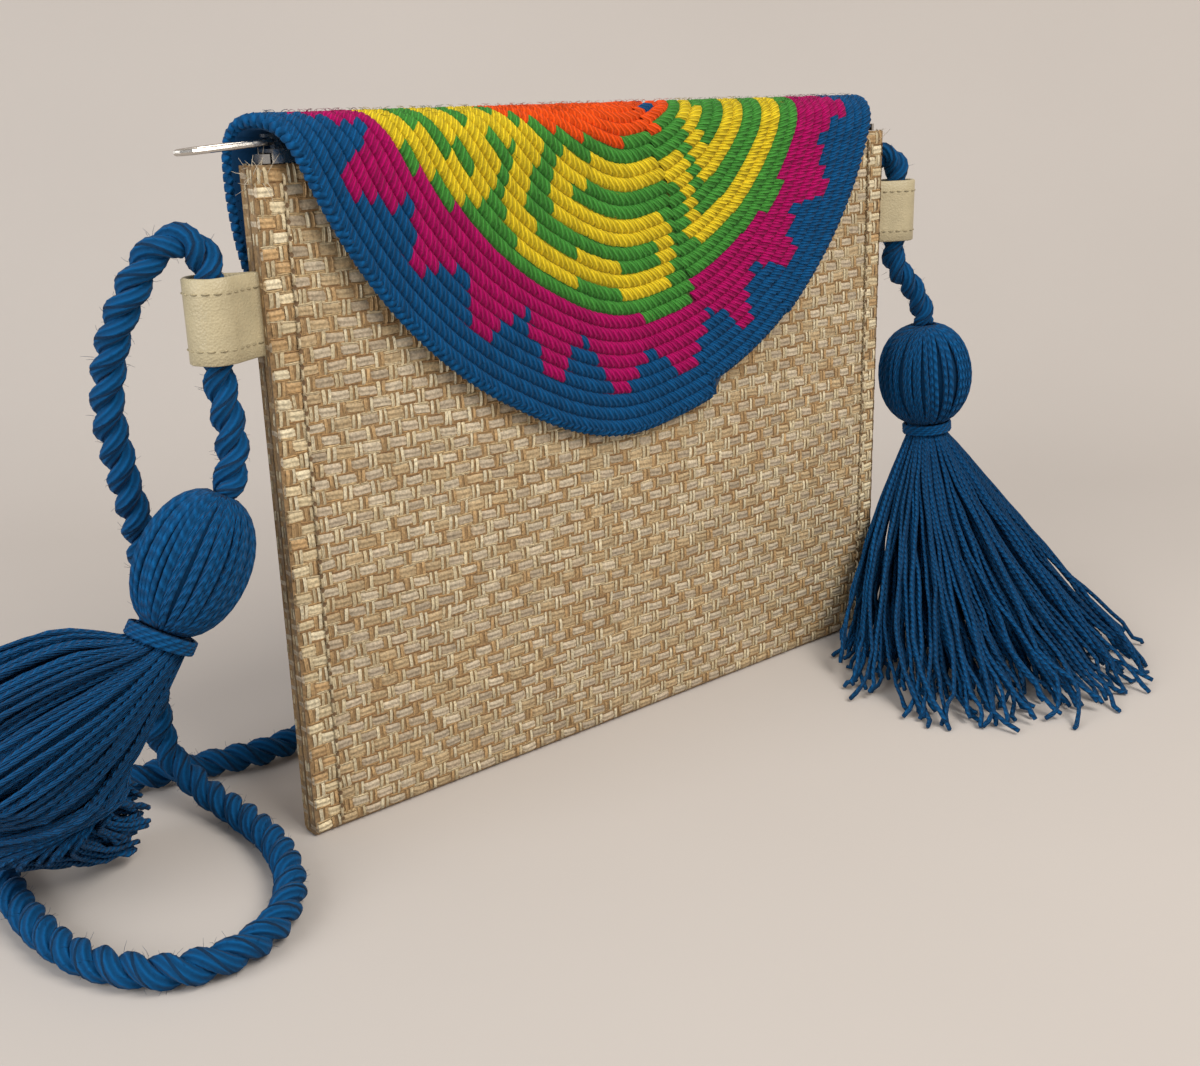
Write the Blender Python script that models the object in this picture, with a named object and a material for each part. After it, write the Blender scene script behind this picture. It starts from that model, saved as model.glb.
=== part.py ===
# Flat woven clutch with a crochet flap, a twisted shoulder cord and two tassels.
# Units are metres, +Z is up, the bag's front looks along -Y.
# The origin is the middle of the bag's bottom edge.
import math

import bmesh
import bpy
from mathutils import Vector

# Running gap between two pieces that touch
CLEAR = 0.0003

# Woven body: one sheet folded at the bottom, its side hems turned in
BODY_W = 0.250
BODY_H = 0.190
BODY_T = 0.008
WALL = 0.0016
FOLD_EDGE = 0.0015
HEM_W = 0.009
HEM_STEP = 0.0004
HEM_SPLIT = 0.00015
BULGE = 0.003
WEAVE_ROWS = 16
WEAVE_DEPTH = 0.0006
BODY_COLUMNS = 6

# Crochet flap: a disc folded over the mouth, in flat coordinates
# u along the fold and v across it, v is positive on the front
FLAP_T = 0.0045
FLAP_POLE_U = -0.006
FLAP_POLE_V = -0.016
FLAP_ROWS = 15
FLAP_ROW_DEPTH = 0.0009
FLAP_SECTORS = 52
FLAP_CROWDING = 0.35
FLAP_UNDER_ROWS = 9
FOLD_RISE = 0.0131
FOLD_POWER = 2.4
# Distance from the disc's centre to its edge, at equal steps of angle
# from +u through the front; the last stitch of the spiral makes the step
FLAP_EDGE_RADII = (
    0.119, 0.119, 0.119, 0.121, 0.124, 0.117, 0.113, 0.113,
    0.119, 0.121, 0.121, 0.120, 0.120, 0.119, 0.119, 0.119,
)

# Zip: two rows of teeth on tapes, their slider and its pull
TOOTH_PITCH = 0.005
TOOTH_ROW_IN = 0.006
TOOTH_ROW_END = BODY_W / 2 - TOOTH_ROW_IN
TOOTH_H = 0.0012
TOOTH_LIFT = 0.0014
TOOTH_REACH = 0.0008
SPINE_IN = 0.0011
SPINE_OUT = 0.0030
TAPE_T = 0.0005
TAPE_DEPTH = 0.014
STOP_L = 0.0018
SLIDER_L = 0.009
SLIDER_PLATE = 0.0009
SLIDER_IN = 0.0045
SLIDER_X = -(TOOTH_ROW_END - SLIDER_IN)
BRIDGE_W = 0.0024
BRIDGE_STRAP = 0.0008
PULL_WIRE_R = 0.0008
PULL_L = 0.025
PULL_HALF_W = 0.0042
PULL_EYE_HALF_W = 0.0024
PULL_DROOP = math.radians(4.0)
PULL_LIFT = 0.0010

# Leather loops at the side seams
LOOP_H = 0.022
LOOP_LEATHER = 0.0015
LOOP_OUT = 0.013
LOOP_SLACK = 0.0007
LOOP_TAIL = 0.006
LOOP_LEFT_DROP = 0.0375
LOOP_RIGHT_DROP = 0.0290
LOOP_LEFT_Z = BODY_H - LOOP_LEFT_DROP
LOOP_RIGHT_Z = BODY_H - LOOP_RIGHT_DROP

# Twisted cord and tassels
CORD_D = 0.0095
CORD_LEAD = 0.0055
CORD_SMOOTH_STEPS = 3
HEAD_LEFT_HALF_W = 0.0148
HEAD_RIGHT_HALF_W = 0.0180
NECK_R = 0.0085
NECK_L = 0.0038
BINDING_R = 0.0016
FLUTES = 14
FLUTE_DEPTH = 0.06
HEAD_LEFT_TOP = (-0.141, 0.000, 0.106)
HEAD_LEFT_FOOT = (-0.161, 0.000, 0.074)
HEAD_RIGHT_TOP = (0.153, -0.004, 0.116)
HEAD_RIGHT_FOOT = (0.155, -0.006, 0.078)

LOOP_ROPE_X = BODY_W / 2 + LOOP_OUT

# Route of the cord from the left tassel to the right one
CORD_ROUTE = (
    (-0.1365, 0.000, 0.121), (-0.138, 0.000, 0.1360), (-0.138, 0.000, 0.1450),
    (-0.138, 0.000, 0.1600), (-0.138, 0.000, 0.1660), (-0.1415, 0.001, 0.1725),
    (-0.149, 0.004, 0.171), (-0.156, 0.008, 0.160), (-0.160, 0.014, 0.146),
    (-0.161, 0.019, 0.130), (-0.158, 0.023, 0.112), (-0.153, 0.029, 0.090),
    (-0.150, 0.037, 0.060), (-0.149, 0.045, 0.034), (-0.147, 0.045, 0.0175),
    (-0.142, 0.031, 0.0075), (-0.139, 0.013, 0.0050), (-0.140, -0.008, 0.0050),
    (-0.147, -0.029, 0.0050), (-0.159, -0.043, 0.0050), (-0.174, -0.048, 0.0050),
    (-0.188, -0.044, 0.0050), (-0.198, -0.032, 0.0050), (-0.204, -0.014, 0.0050),
    (-0.205, 0.012, 0.0050), (-0.201, 0.038, 0.0050), (-0.189, 0.058, 0.0050),
    (-0.170, 0.064, 0.0050), (-0.150, 0.060, 0.0050), (-0.131, 0.054, 0.0050),
    (-0.112, 0.050, 0.0050), (-0.090, 0.054, 0.0050), (-0.060, 0.068, 0.0050),
    (-0.025, 0.078, 0.0050), (0.012, 0.076, 0.0050), (0.045, 0.062, 0.0050),
    (0.072, 0.045, 0.0060), (0.092, 0.034, 0.018), (0.103, 0.029, 0.050),
    (0.109, 0.027, 0.090), (0.114, 0.025, 0.130), (0.121, 0.020, 0.162),
    (0.129, 0.010, 0.179), (0.1365, 0.001, 0.180), (0.138, 0.000, 0.1720),
    (0.138, 0.000, 0.1620), (0.138, 0.000, 0.1480), (0.1395, 0.000, 0.140),
    (0.147, -0.002, 0.132),
)

# Left skirt: centre line from below its neck to its end on the floor, with radii
SKIRT_LEFT = (
    ((-0.170, 0.001, 0.0655), 0.0125), ((-0.180, 0.003, 0.0610), 0.0205),
    ((-0.191, 0.006, 0.055), 0.0255), ((-0.197, 0.009, 0.0445), 0.0270),
    ((-0.197, 0.013, 0.036), 0.0240), ((-0.190, 0.018, 0.0265), 0.0175),
    ((-0.180, 0.023, 0.0165), 0.0130), ((-0.169, 0.027, 0.0115), 0.0105),
)
# Right skirt: level ellipses from below its neck down, with half widths in x and y
SKIRT_RIGHT = (
    ((0.154, -0.009, 0.068), 0.014, 0.011),
    ((0.149, -0.017, 0.055), 0.026, 0.019), ((0.141, -0.030, 0.038), 0.040, 0.030),
    ((0.132, -0.046, 0.020), 0.053, 0.041), ((0.125, -0.060, 0.007), 0.062, 0.050),
    ((0.123, -0.064, 0.000), 0.066, 0.055),
)

COLOURS = {
    "straw": ((0.56, 0.44, 0.30), 0.85, 0.0),
    "blue_yarn": ((0.010, 0.075, 0.185), 0.9, 0.0),
    "flap_yarn": ((0.38, 0.004, 0.09), 0.9, 0.0),
    "leather": ((0.50, 0.43, 0.24), 0.55, 0.0),
    "tape": ((0.012, 0.012, 0.016), 0.8, 0.0),
    "metal": ((0.42, 0.40, 0.37), 0.25, 1.0),
}


def clear_scene():
    for obj in list(bpy.data.objects):
        bpy.data.objects.remove(obj, do_unlink=True)


def material(name):
    mat = bpy.data.materials.get(name)
    if mat is None:
        mat = bpy.data.materials.new(name)
        mat.use_nodes = True
        colour, rough, metal = COLOURS[name]
        shader = mat.node_tree.nodes["Principled BSDF"]
        shader.inputs["Base Color"].default_value = (*colour, 1.0)
        shader.inputs["Roughness"].default_value = rough
        shader.inputs["Metallic"].default_value = metal
    return mat


def add_object(name, data, mat_name, location=(0.0, 0.0, 0.0)):
    obj = bpy.data.objects.new(name, data)
    obj.location = location
    data.materials.append(material(mat_name))
    bpy.context.scene.collection.objects.link(obj)
    return obj


def mesh_object(name, bm, mat_name, location=(0.0, 0.0, 0.0), smooth=True, sharp=math.radians(40.0)):
    bmesh.ops.recalc_face_normals(bm, faces=bm.faces)
    data = bpy.data.meshes.new(name)
    bm.to_mesh(data)
    bm.free()
    if smooth:
        data.shade_smooth()
        data.set_sharp_from_angle(angle=sharp)
    return add_object(name, data, mat_name, location)


def tube_of_rings(bm, rings):
    """Joins closed rings of equal count and caps both ends."""
    rows = [[bm.verts.new(point) for point in ring] for ring in rings]
    count = len(rows[0])
    for lower, upper in zip(rows, rows[1:]):
        for i in range(count):
            j = (i + 1) % count
            bm.faces.new((lower[i], lower[j], upper[j], upper[i]))
    bm.faces.new(rows[0])
    bm.faces.new(list(reversed(rows[-1])))
    return rows


def prism(name, outline, axis, low, high, mat_name, location=(0.0, 0.0, 0.0)):
    """Extrudes a flat outline along one axis; the outline gives the two others in order."""
    bm = bmesh.new()
    order = {"X": lambda a, b, c: (c, a, b), "Y": lambda a, b, c: (a, c, b), "Z": lambda a, b, c: (a, b, c)}
    place = order[axis]
    start = [bm.verts.new(place(a, b, low)) for a, b in outline]
    face = bm.faces.new(start)
    result = bmesh.ops.extrude_face_region(bm, geom=[face])
    moved = [item for item in result["geom"] if isinstance(item, bmesh.types.BMVert)]
    bmesh.ops.translate(bm, verts=moved, vec=Vector(place(0.0, 0.0, high - low)))
    return mesh_object(name, bm, mat_name, location, smooth=False)


def boolean(target, other, operation):
    other.hide_render = True
    other.display_type = "WIRE"
    mod = target.modifiers.new(operation.lower(), "BOOLEAN")
    mod.operation = operation
    mod.object = other
    mod.solver = "EXACT"


def bulge_at(x, z):
    across = 1.0 - (x / (BODY_W / 2)) ** 2
    return BULGE * across * math.sin(math.pi * min(max(z / BODY_H, 0.0), 1.0))


def groove_at(z):
    """Depth below the ridges' crests: a plain triangle wave, one tooth for each weave row."""
    place = (BODY_H - z) / ((BODY_H - FOLD_EDGE) / WEAVE_ROWS) % 1.0
    return WEAVE_DEPTH * abs(2.0 * place - 1.0)


def leaf_levels():
    """Heights of a leaf's points, with a pair at each end of a loop's slot."""
    steps = 2 * WEAVE_ROWS
    levels = [FOLD_EDGE + (BODY_H - FOLD_EDGE) * i / steps for i in range(steps + 1)]
    for z in (LOOP_LEFT_Z, LOOP_RIGHT_Z):
        reach = LOOP_H / 2 + CLEAR
        levels += [z - reach - HEM_STEP, z - reach, z + reach, z + reach + HEM_STEP]
    return sorted(levels)


def inner_y(x, z, kind):
    """Half the gap between front and back leaf: in the pocket, the hem or a loop's slot."""
    if kind == "pocket":
        return BODY_T / 2 - WALL + bulge_at(x, z)
    centre = LOOP_LEFT_Z if x < 0.0 else LOOP_RIGHT_Z
    in_slot = abs(z - centre) < LOOP_H / 2 + 1.5 * CLEAR
    if kind == "slot" and in_slot:
        return LOOP_LEATHER + HEM_SPLIT + CLEAR
    return HEM_SPLIT


def leaf_pairs(x, kind):
    """Outer and inner half depth at each height, from the fold up; the fold's floor comes first."""
    pairs = [(BODY_T / 2 - FOLD_EDGE, 0.0, inner_y(x, WALL, kind), WALL)]
    for z in leaf_levels():
        outer = BODY_T / 2 - groove_at(z) + bulge_at(x, z)
        inner_z = max(z, WALL + HEM_STEP)
        pairs.append((outer, z, inner_y(x, inner_z, kind), inner_z))
    return pairs


def make_body():
    """Front and back leaf as strips of quads, joined over the fold at the bottom."""
    half = BODY_W / 2
    slot = half - LOOP_TAIL - CLEAR
    hem = half - HEM_W
    pocket = hem - HEM_STEP
    side = [(half, "slot"), (slot, "slot"), (slot - HEM_STEP, "hem"), (hem, "hem")]
    stations = [(-x, kind) for x, kind in side]
    for i in range(BODY_COLUMNS + 1):
        stations.append((-pocket + 2 * pocket * i / BODY_COLUMNS, "pocket"))
    stations += reversed(side)
    bm = bmesh.new()
    rings = []
    for x, kind in stations:
        pairs = leaf_pairs(x, kind)
        front_out = [bm.verts.new((x, -y, z)) for y, z, _, _ in reversed(pairs)]
        back_out = [bm.verts.new((x, y, z)) for y, z, _, _ in pairs]
        back_in = [bm.verts.new((x, y, z)) for _, _, y, z in reversed(pairs)]
        front_in = [bm.verts.new((x, -y, z)) for _, _, y, z in pairs]
        rings.append(front_out + back_out + back_in + front_in)
    count = len(rings[0])
    for near, far in zip(rings, rings[1:]):
        for i in range(count):
            j = (i + 1) % count
            bm.faces.new((near[i], near[j], far[j], far[i]))
    for ring in (rings[0], rings[-1]):
        for i in range(count // 2 - 1):
            bm.faces.new((ring[i], ring[i + 1], ring[count - 2 - i], ring[count - 1 - i]))
    mesh_object("woven_body", bm, "straw", sharp=math.radians(50.0))


def flap_section():
    """Points of the flap's outer surface from the fold's top forwards, with arc lengths."""
    half = BODY_T / 2 + BULGE + CLEAR + FLAP_T
    points = []
    steps = 48
    for i in range(steps + 1):
        a = math.pi / 2 * i / steps
        y = half * math.sin(a) ** (2 / FOLD_POWER)
        z = BODY_H + FOLD_RISE * math.cos(a) ** (2 / FOLD_POWER)
        points.append((y, z))
    lengths = [0.0]
    for (y0, z0), (y1, z1) in zip(points, points[1:]):
        lengths.append(lengths[-1] + math.hypot(y1 - y0, z1 - z0))
    return points, lengths


def flap_point(section, u, v, depth):
    """Place of flat point (u, v) in space, depth below the outer surface."""
    points, lengths = section
    side = -1.0 if v >= 0.0 else 1.0
    run = abs(v)
    if run >= lengths[-1]:
        y, z = points[-1][0], BODY_H - (run - lengths[-1])
        ny, nz = 1.0, 0.0
    else:
        k = 0
        while lengths[k + 1] < run:
            k += 1
        share = (run - lengths[k]) / (lengths[k + 1] - lengths[k])
        (y0, z0), (y1, z1) = points[k], points[k + 1]
        y = y0 + (y1 - y0) * share
        z = z0 + (z1 - z0) * share
        ny, nz = z0 - z1, y1 - y0
        size = math.hypot(ny, nz)
        ny, nz = ny / size, nz / size
    return (u, side * (y - ny * depth), z - nz * depth)


def flap_edge_radius(angle):
    """Smooth closed curve through the edge radii."""
    count = len(FLAP_EDGE_RADII)
    place = (angle / (2 * math.pi)) % 1.0 * count
    k = int(place)
    t = place - k
    a, b, c, d = (FLAP_EDGE_RADII[(k + i) % count] for i in (-1, 0, 1, 2))
    return b + 0.5 * t * (c - a + t * (2 * a - 5 * b + 4 * c - d + t * (3 * (b - c) + d - a)))


def flap_angles():
    angles = []
    for i in range(FLAP_SECTORS):
        even = 2 * math.pi * i / FLAP_SECTORS
        angles.append(even - FLAP_CROWDING * math.sin(2 * even))
    return angles


def make_flap():
    section = flap_section()
    angles = flap_angles()
    bm = bmesh.new()

    def ring(share, depth):
        verts = []
        for angle in angles:
            radius = share * flap_edge_radius(angle)
            u = FLAP_POLE_U + radius * math.cos(angle)
            v = FLAP_POLE_V + radius * math.sin(angle)
            verts.append(bm.verts.new(flap_point(section, u, v, depth)))
        return verts

    def join(inner, outer):
        for i in range(FLAP_SECTORS):
            j = (i + 1) % FLAP_SECTORS
            bm.faces.new((inner[i], inner[j], outer[j], outer[i]))

    def fan(pole, verts):
        for i in range(FLAP_SECTORS):
            bm.faces.new((pole, verts[i], verts[(i + 1) % FLAP_SECTORS]))

    steps = 2 * FLAP_ROWS
    outer = [ring((i + 1) / steps, FLAP_ROW_DEPTH if i % 2 else 0.0) for i in range(steps)]
    under = [ring((i + 1) / FLAP_UNDER_ROWS, FLAP_T) for i in range(FLAP_UNDER_ROWS)]
    fan(bm.verts.new(flap_point(section, FLAP_POLE_U, FLAP_POLE_V, FLAP_ROW_DEPTH)), outer[0])
    fan(bm.verts.new(flap_point(section, FLAP_POLE_U, FLAP_POLE_V, FLAP_T)), under[0])
    for rows in (outer, under):
        for inner_ring, outer_ring in zip(rows, rows[1:]):
            join(inner_ring, outer_ring)
    join(outer[-1], under[-1])
    mesh_object("crochet_flap", bm, "flap_yarn", sharp=math.radians(60.0))


def tooth_comb(name, side, shift, low, high):
    """Flat comb of spine cells and teeth, extruded upwards; side is -1 on the front."""
    bm = bmesh.new()
    width = TOOTH_PITCH / 2 - CLEAR
    marks = [-TOOTH_ROW_END]
    x = -TOOTH_ROW_END + TOOTH_PITCH / 2 + shift
    while x + width < TOOTH_ROW_END:
        marks += [x, x + width]
        x += TOOTH_PITCH
    marks.append(TOOTH_ROW_END)
    outer = [bm.verts.new((x, side * SPINE_OUT, low)) for x in marks]
    inner = [bm.verts.new((x, side * SPINE_IN, low)) for x in marks]
    for i in range(len(marks) - 1):
        bm.faces.new((outer[i], outer[i + 1], inner[i + 1], inner[i]))
        if i % 2 == 1:
            tips = [bm.verts.new((marks[k], -side * TOOTH_REACH, low)) for k in (i, i + 1)]
            bm.faces.new((inner[i], inner[i + 1], tips[1], tips[0]))
    result = bmesh.ops.extrude_face_region(bm, geom=list(bm.faces))
    moved = [item for item in result["geom"] if isinstance(item, bmesh.types.BMVert)]
    bmesh.ops.translate(bm, verts=moved, vec=Vector((0.0, 0.0, high - low)))
    return mesh_object(name, bm, "tape", smooth=False)


def make_zip_row(name, side, shift):
    low = BODY_H + TOOTH_LIFT
    row = tooth_comb(name, side, shift, low, low + TOOTH_H)
    outer = BODY_T / 2 - WALL - CLEAR
    inner = outer - TAPE_T
    half = BODY_W / 2 - HEM_W - HEM_STEP - CLEAR
    tape_outline = [(-half, side * outer), (half, side * outer), (half, side * inner), (-half, side * inner)]
    tape = prism(name + "_tape", tape_outline, "Z", BODY_H - TAPE_DEPTH, low + TOOTH_H / 2, "tape")
    boolean(row, tape, "UNION")


def make_zip_stop(name, side):
    low = BODY_H + TOOTH_LIFT
    x0 = side * (TOOTH_ROW_END + CLEAR)
    x1 = side * (TOOTH_ROW_END + CLEAR + STOP_L)
    outline = [(x0, -SPINE_OUT), (x1, -SPINE_OUT * 0.8), (x1, SPINE_OUT * 0.8), (x0, SPINE_OUT)]
    prism(name, outline, "Z", BODY_H + CLEAR, low + TOOTH_H, "metal")


def pivot_height():
    plate_top = BODY_H + TOOTH_LIFT + TOOTH_H + CLEAR + SLIDER_PLATE
    return plate_top + PULL_WIRE_R + PULL_LIFT


def make_slider():
    tooth_low = BODY_H + TOOTH_LIFT
    inner_top = tooth_low + TOOTH_H + CLEAR
    outer_top = inner_top + SLIDER_PLATE
    inner_low = tooth_low - CLEAR
    outer_low = inner_low - (TOOTH_LIFT - 2 * CLEAR)
    inner_y = SPINE_OUT + CLEAR
    outer_y = inner_y + SLIDER_PLATE
    slot_y = BODY_T / 2 - WALL
    channel = [
        (-slot_y, outer_low), (-outer_y, outer_low), (-outer_y, outer_top), (outer_y, outer_top),
        (outer_y, outer_low), (slot_y, outer_low), (slot_y, inner_low), (inner_y, inner_low),
        (inner_y, inner_top), (-inner_y, inner_top), (-inner_y, inner_low), (-slot_y, inner_low),
    ]
    slider = prism("zip_slider", channel, "X", 0.0, SLIDER_L, "metal",
                   (SLIDER_X - SLIDER_L / 2, 0.0, 0.0))
    pivot = pivot_height()
    under = pivot + PULL_WIRE_R + CLEAR
    top = under + BRIDGE_STRAP
    left = pull_pivot_x() - SLIDER_X + SLIDER_L / 2 + PULL_WIRE_R + CLEAR
    sunk = outer_top - SLIDER_PLATE / 2
    bridge = [
        (left, sunk), (left, under), (-PULL_WIRE_R / 2, under), (-PULL_WIRE_R / 2, top),
        (left + BRIDGE_STRAP, top), (SLIDER_L - BRIDGE_STRAP, outer_top + BRIDGE_STRAP),
        (SLIDER_L - BRIDGE_STRAP, sunk),
    ]
    strap = prism("zip_slider_bridge", bridge, "Y", -BRIDGE_W / 2, BRIDGE_W / 2, "metal",
                  (SLIDER_X - SLIDER_L / 2, 0.0, 0.0))
    boolean(slider, strap, "UNION")


def pull_pivot_x():
    return SLIDER_X - SLIDER_L / 2 + PULL_WIRE_R + CLEAR


def make_pull():
    """Wire loop with its eye round the slider's bridge, its origin on the hinge."""
    half = [
        (0.0, PULL_EYE_HALF_W), (-0.0015, PULL_EYE_HALF_W + 0.0003), (-0.006, 0.0033),
        (-0.012, 0.0039), (-0.018, PULL_HALF_W), (-0.022, 0.0037), (-0.0243, 0.0022),
    ]
    scale = PULL_L / 0.025
    wire = PULL_WIRE_R
    path = [(x * scale, y - wire) for x, y in half]
    path.append((-PULL_L, 0.0))
    path += [(x, -y) for x, y in reversed(path[:-1])]
    data = bpy.data.curves.new("zip_pull", "CURVE")
    data.dimensions = "3D"
    data.bevel_depth = wire
    data.bevel_resolution = 2
    spline = data.splines.new("POLY")
    spline.points.add(len(path) - 1)
    for point, (x, y) in zip(spline.points, path):
        point.co = (x, y, 0.0, 1.0)
    spline.use_cyclic_u = True
    pull = add_object("zip_pull", data, "metal", (pull_pivot_x(), 0.0, pivot_height()))
    pull.rotation_euler = (0.0, -PULL_DROOP, 0.0)


def loop_centre_line(side):
    """Band from its tail in the seam, round the cord and back, in x and y."""
    bend = CORD_D / 2 + LOOP_SLACK + LOOP_LEATHER / 2
    leg = LOOP_LEATHER / 2 + HEM_SPLIT / 2
    tail = BODY_W / 2 - LOOP_TAIL
    mouth = BODY_W / 2 + CLEAR
    points = [(tail, -leg), (mouth, -leg), (mouth + 0.0022, -leg * 1.5)]
    steps = 14
    sweep = math.radians(130.0)
    for i in range(steps + 1):
        a = -sweep + 2 * sweep * i / steps
        points.append((LOOP_ROPE_X + bend * math.cos(a), bend * math.sin(a)))
    points += [(mouth + 0.0022, leg * 1.5), (mouth, leg), (tail, leg)]
    return [(side * x, y) for x, y in points]


def make_loop(name, side, z):
    line = loop_centre_line(side)
    half = LOOP_LEATHER / 2
    left = []
    right = []
    for i, (x, y) in enumerate(line):
        x0, y0 = line[max(i - 1, 0)]
        x1, y1 = line[min(i + 1, len(line) - 1)]
        dx, dy = x1 - x0, y1 - y0
        size = math.hypot(dx, dy)
        nx, ny = -dy / size * half, dx / size * half
        left.append((x + nx, y + ny))
        right.append((x - nx, y - ny))
    bm = bmesh.new()
    rings = []
    for (xa, ya), (xb, yb) in zip(left, right):
        low = z - LOOP_H / 2
        high = z + LOOP_H / 2
        rings.append([(xa, ya, low), (xb, yb, low), (xb, yb, high), (xa, ya, high)])
    tube_of_rings(bm, rings)
    mesh_object(name, bm, "leather", sharp=math.radians(50.0))


def smooth_route(points, steps):
    """Catmull-Rom curve through the points."""
    ends = [points[0]] + list(points) + [points[-1]]
    result = []
    for a, b, c, d in zip(ends, ends[1:], ends[2:], ends[3:]):
        a, b, c, d = (Vector(p) for p in (a, b, c, d))
        pieces = max(1, min(steps, round((c - b).length / (1.6 * CORD_D))))
        for k in range(pieces):
            t = k / pieces
            place = b + 0.5 * t * (c - a + t * (2 * a - 5 * b + 4 * c - d + t * (3 * (b - c) + d - a)))
            result.append(place)
    result.append(Vector(points[-1]))
    return result


def cord_points():
    """Route with both ends lying against the tassel heads."""
    points = [Vector(p) for p in CORD_ROUTE]
    for index, top, foot in ((0, HEAD_LEFT_TOP, HEAD_LEFT_FOOT), (-1, HEAD_RIGHT_TOP, HEAD_RIGHT_FOOT)):
        top = Vector(top)
        axis = (top - Vector(foot)).normalized()
        end = [top + axis * CLEAR, top + axis * CORD_LEAD]
        if index == 0:
            points = end + points
        else:
            points = points + end[::-1]
    return points


def make_cord():
    data = bpy.data.curves.new("strap_cord", "CURVE")
    data.dimensions = "3D"
    data.bevel_depth = CORD_D / 2
    data.bevel_resolution = 2
    data.use_fill_caps = True
    path = smooth_route(cord_points(), CORD_SMOOTH_STEPS)
    spline = data.splines.new("POLY")
    spline.points.add(len(path) - 1)
    for point, place in zip(spline.points, path):
        point.co = (*place, 1.0)
    add_object("strap_cord", data, "blue_yarn")


def frame_along(direction):
    """Two unit vectors square to a direction, the first as level as it can be."""
    z = Vector(direction).normalized()
    side = Vector((0.0, 0.0, 1.0)).cross(z)
    if side.length < 0.1:
        side = Vector((0.0, 1.0, 0.0)).cross(z)
    side.normalize()
    return side, z.cross(side)


def fluted_ring(centre, side, other, wide, deep, flutes, depth):
    points = []
    count = 2 * flutes
    for i in range(count):
        a = 2 * math.pi * i / count
        swell = 1.0 - (depth if i % 2 else 0.0)
        points.append(Vector(centre) + side * (wide * swell * math.cos(a)) + other * (deep * swell * math.sin(a)))
    return points


def make_head(name, top, foot, half_w):
    """Bundle of yarn: a fluted egg with its long axis from top to foot."""
    top = Vector(top)
    foot = Vector(foot)
    axis = (top - foot).normalized()
    centre = (top + foot) / 2
    half = (top - foot).length / 2
    side, other = frame_along(axis)
    bm = bmesh.new()
    rings = []
    levels = 8
    for i in range(levels + 1):
        a = math.pi * (0.07 + 0.86 * i / levels)
        radius = half_w * math.sin(a) ** 0.85
        place = centre - axis * (half * math.cos(a) / math.cos(math.pi * 0.07))
        rings.append(fluted_ring(place, side, other, radius, radius, FLUTES, FLUTE_DEPTH))
    tube_of_rings(bm, rings)
    mesh_object(name, bm, "blue_yarn", sharp=math.radians(80.0))


def neck_point(top, foot, run):
    """Point on a tassel's axis, run below the foot of its head."""
    axis = (Vector(top) - Vector(foot)).normalized()
    return Vector(foot) - axis * run


def make_binding(name, top, foot):
    """Wrapped neck: a thick ring with its hole round the skirt's neck."""
    centre = neck_point(top, foot, CLEAR + NECK_L / 2)
    axis = (Vector(top) - Vector(foot)).normalized()
    side, other = frame_along(axis)
    bm = bmesh.new()
    ring_r = NECK_R + CLEAR + BINDING_R
    segments = 20
    sides = 8
    rows = []
    for i in range(segments):
        a = 2 * math.pi * i / segments
        out = side * math.cos(a) + other * math.sin(a)
        row = []
        for k in range(sides):
            b = 2 * math.pi * k / sides
            offset = out * (ring_r + BINDING_R * math.cos(b)) + axis * (BINDING_R * math.sin(b))
            row.append(bm.verts.new(centre + offset))
        rows.append(row)
    for i in range(segments):
        for k in range(sides):
            i2 = (i + 1) % segments
            k2 = (k + 1) % sides
            bm.faces.new((rows[i][k], rows[i2][k], rows[i2][k2], rows[i][k2]))
    mesh_object(name, bm, "blue_yarn", sharp=math.radians(80.0))


def make_left_skirt():
    top, foot = HEAD_LEFT_TOP, HEAD_LEFT_FOOT
    stretch = [(neck_point(top, foot, run), NECK_R) for run in (CLEAR, CLEAR + NECK_L)]
    stretch += [(Vector(place), radius) for place, radius in SKIRT_LEFT]
    places = [place for place, _ in stretch]
    bm = bmesh.new()
    rings = []
    for i, (place, radius) in enumerate(stretch):
        ahead = places[min(i + 1, len(places) - 1)] - places[max(i - 1, 0)]
        if i < 2:
            ahead = Vector(foot) - Vector(top)
        side, other = frame_along(ahead)
        depth = FLUTE_DEPTH if i > 1 else 0.0
        rings.append(fluted_ring(place, side, other, radius, radius, FLUTES, depth))
    tube_of_rings(bm, rings)
    mesh_object("tassel_left_skirt", bm, "blue_yarn", sharp=math.radians(80.0))


def make_right_skirt():
    top, foot = HEAD_RIGHT_TOP, HEAD_RIGHT_FOOT
    x_axis = Vector((1.0, 0.0, 0.0))
    y_axis = Vector((0.0, 1.0, 0.0))
    levels = [(neck_point(top, foot, run), NECK_R, NECK_R) for run in (2 * CLEAR, CLEAR + NECK_L)]
    levels += SKIRT_RIGHT
    bm = bmesh.new()
    rings = []
    for i, (place, wide, deep) in enumerate(levels):
        depth = FLUTE_DEPTH if i > 1 else 0.0
        rings.append(fluted_ring(place, x_axis, y_axis, wide, deep, FLUTES, depth))
    tube_of_rings(bm, rings)
    mesh_object("tassel_right_skirt", bm, "blue_yarn", sharp=math.radians(80.0))


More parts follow.
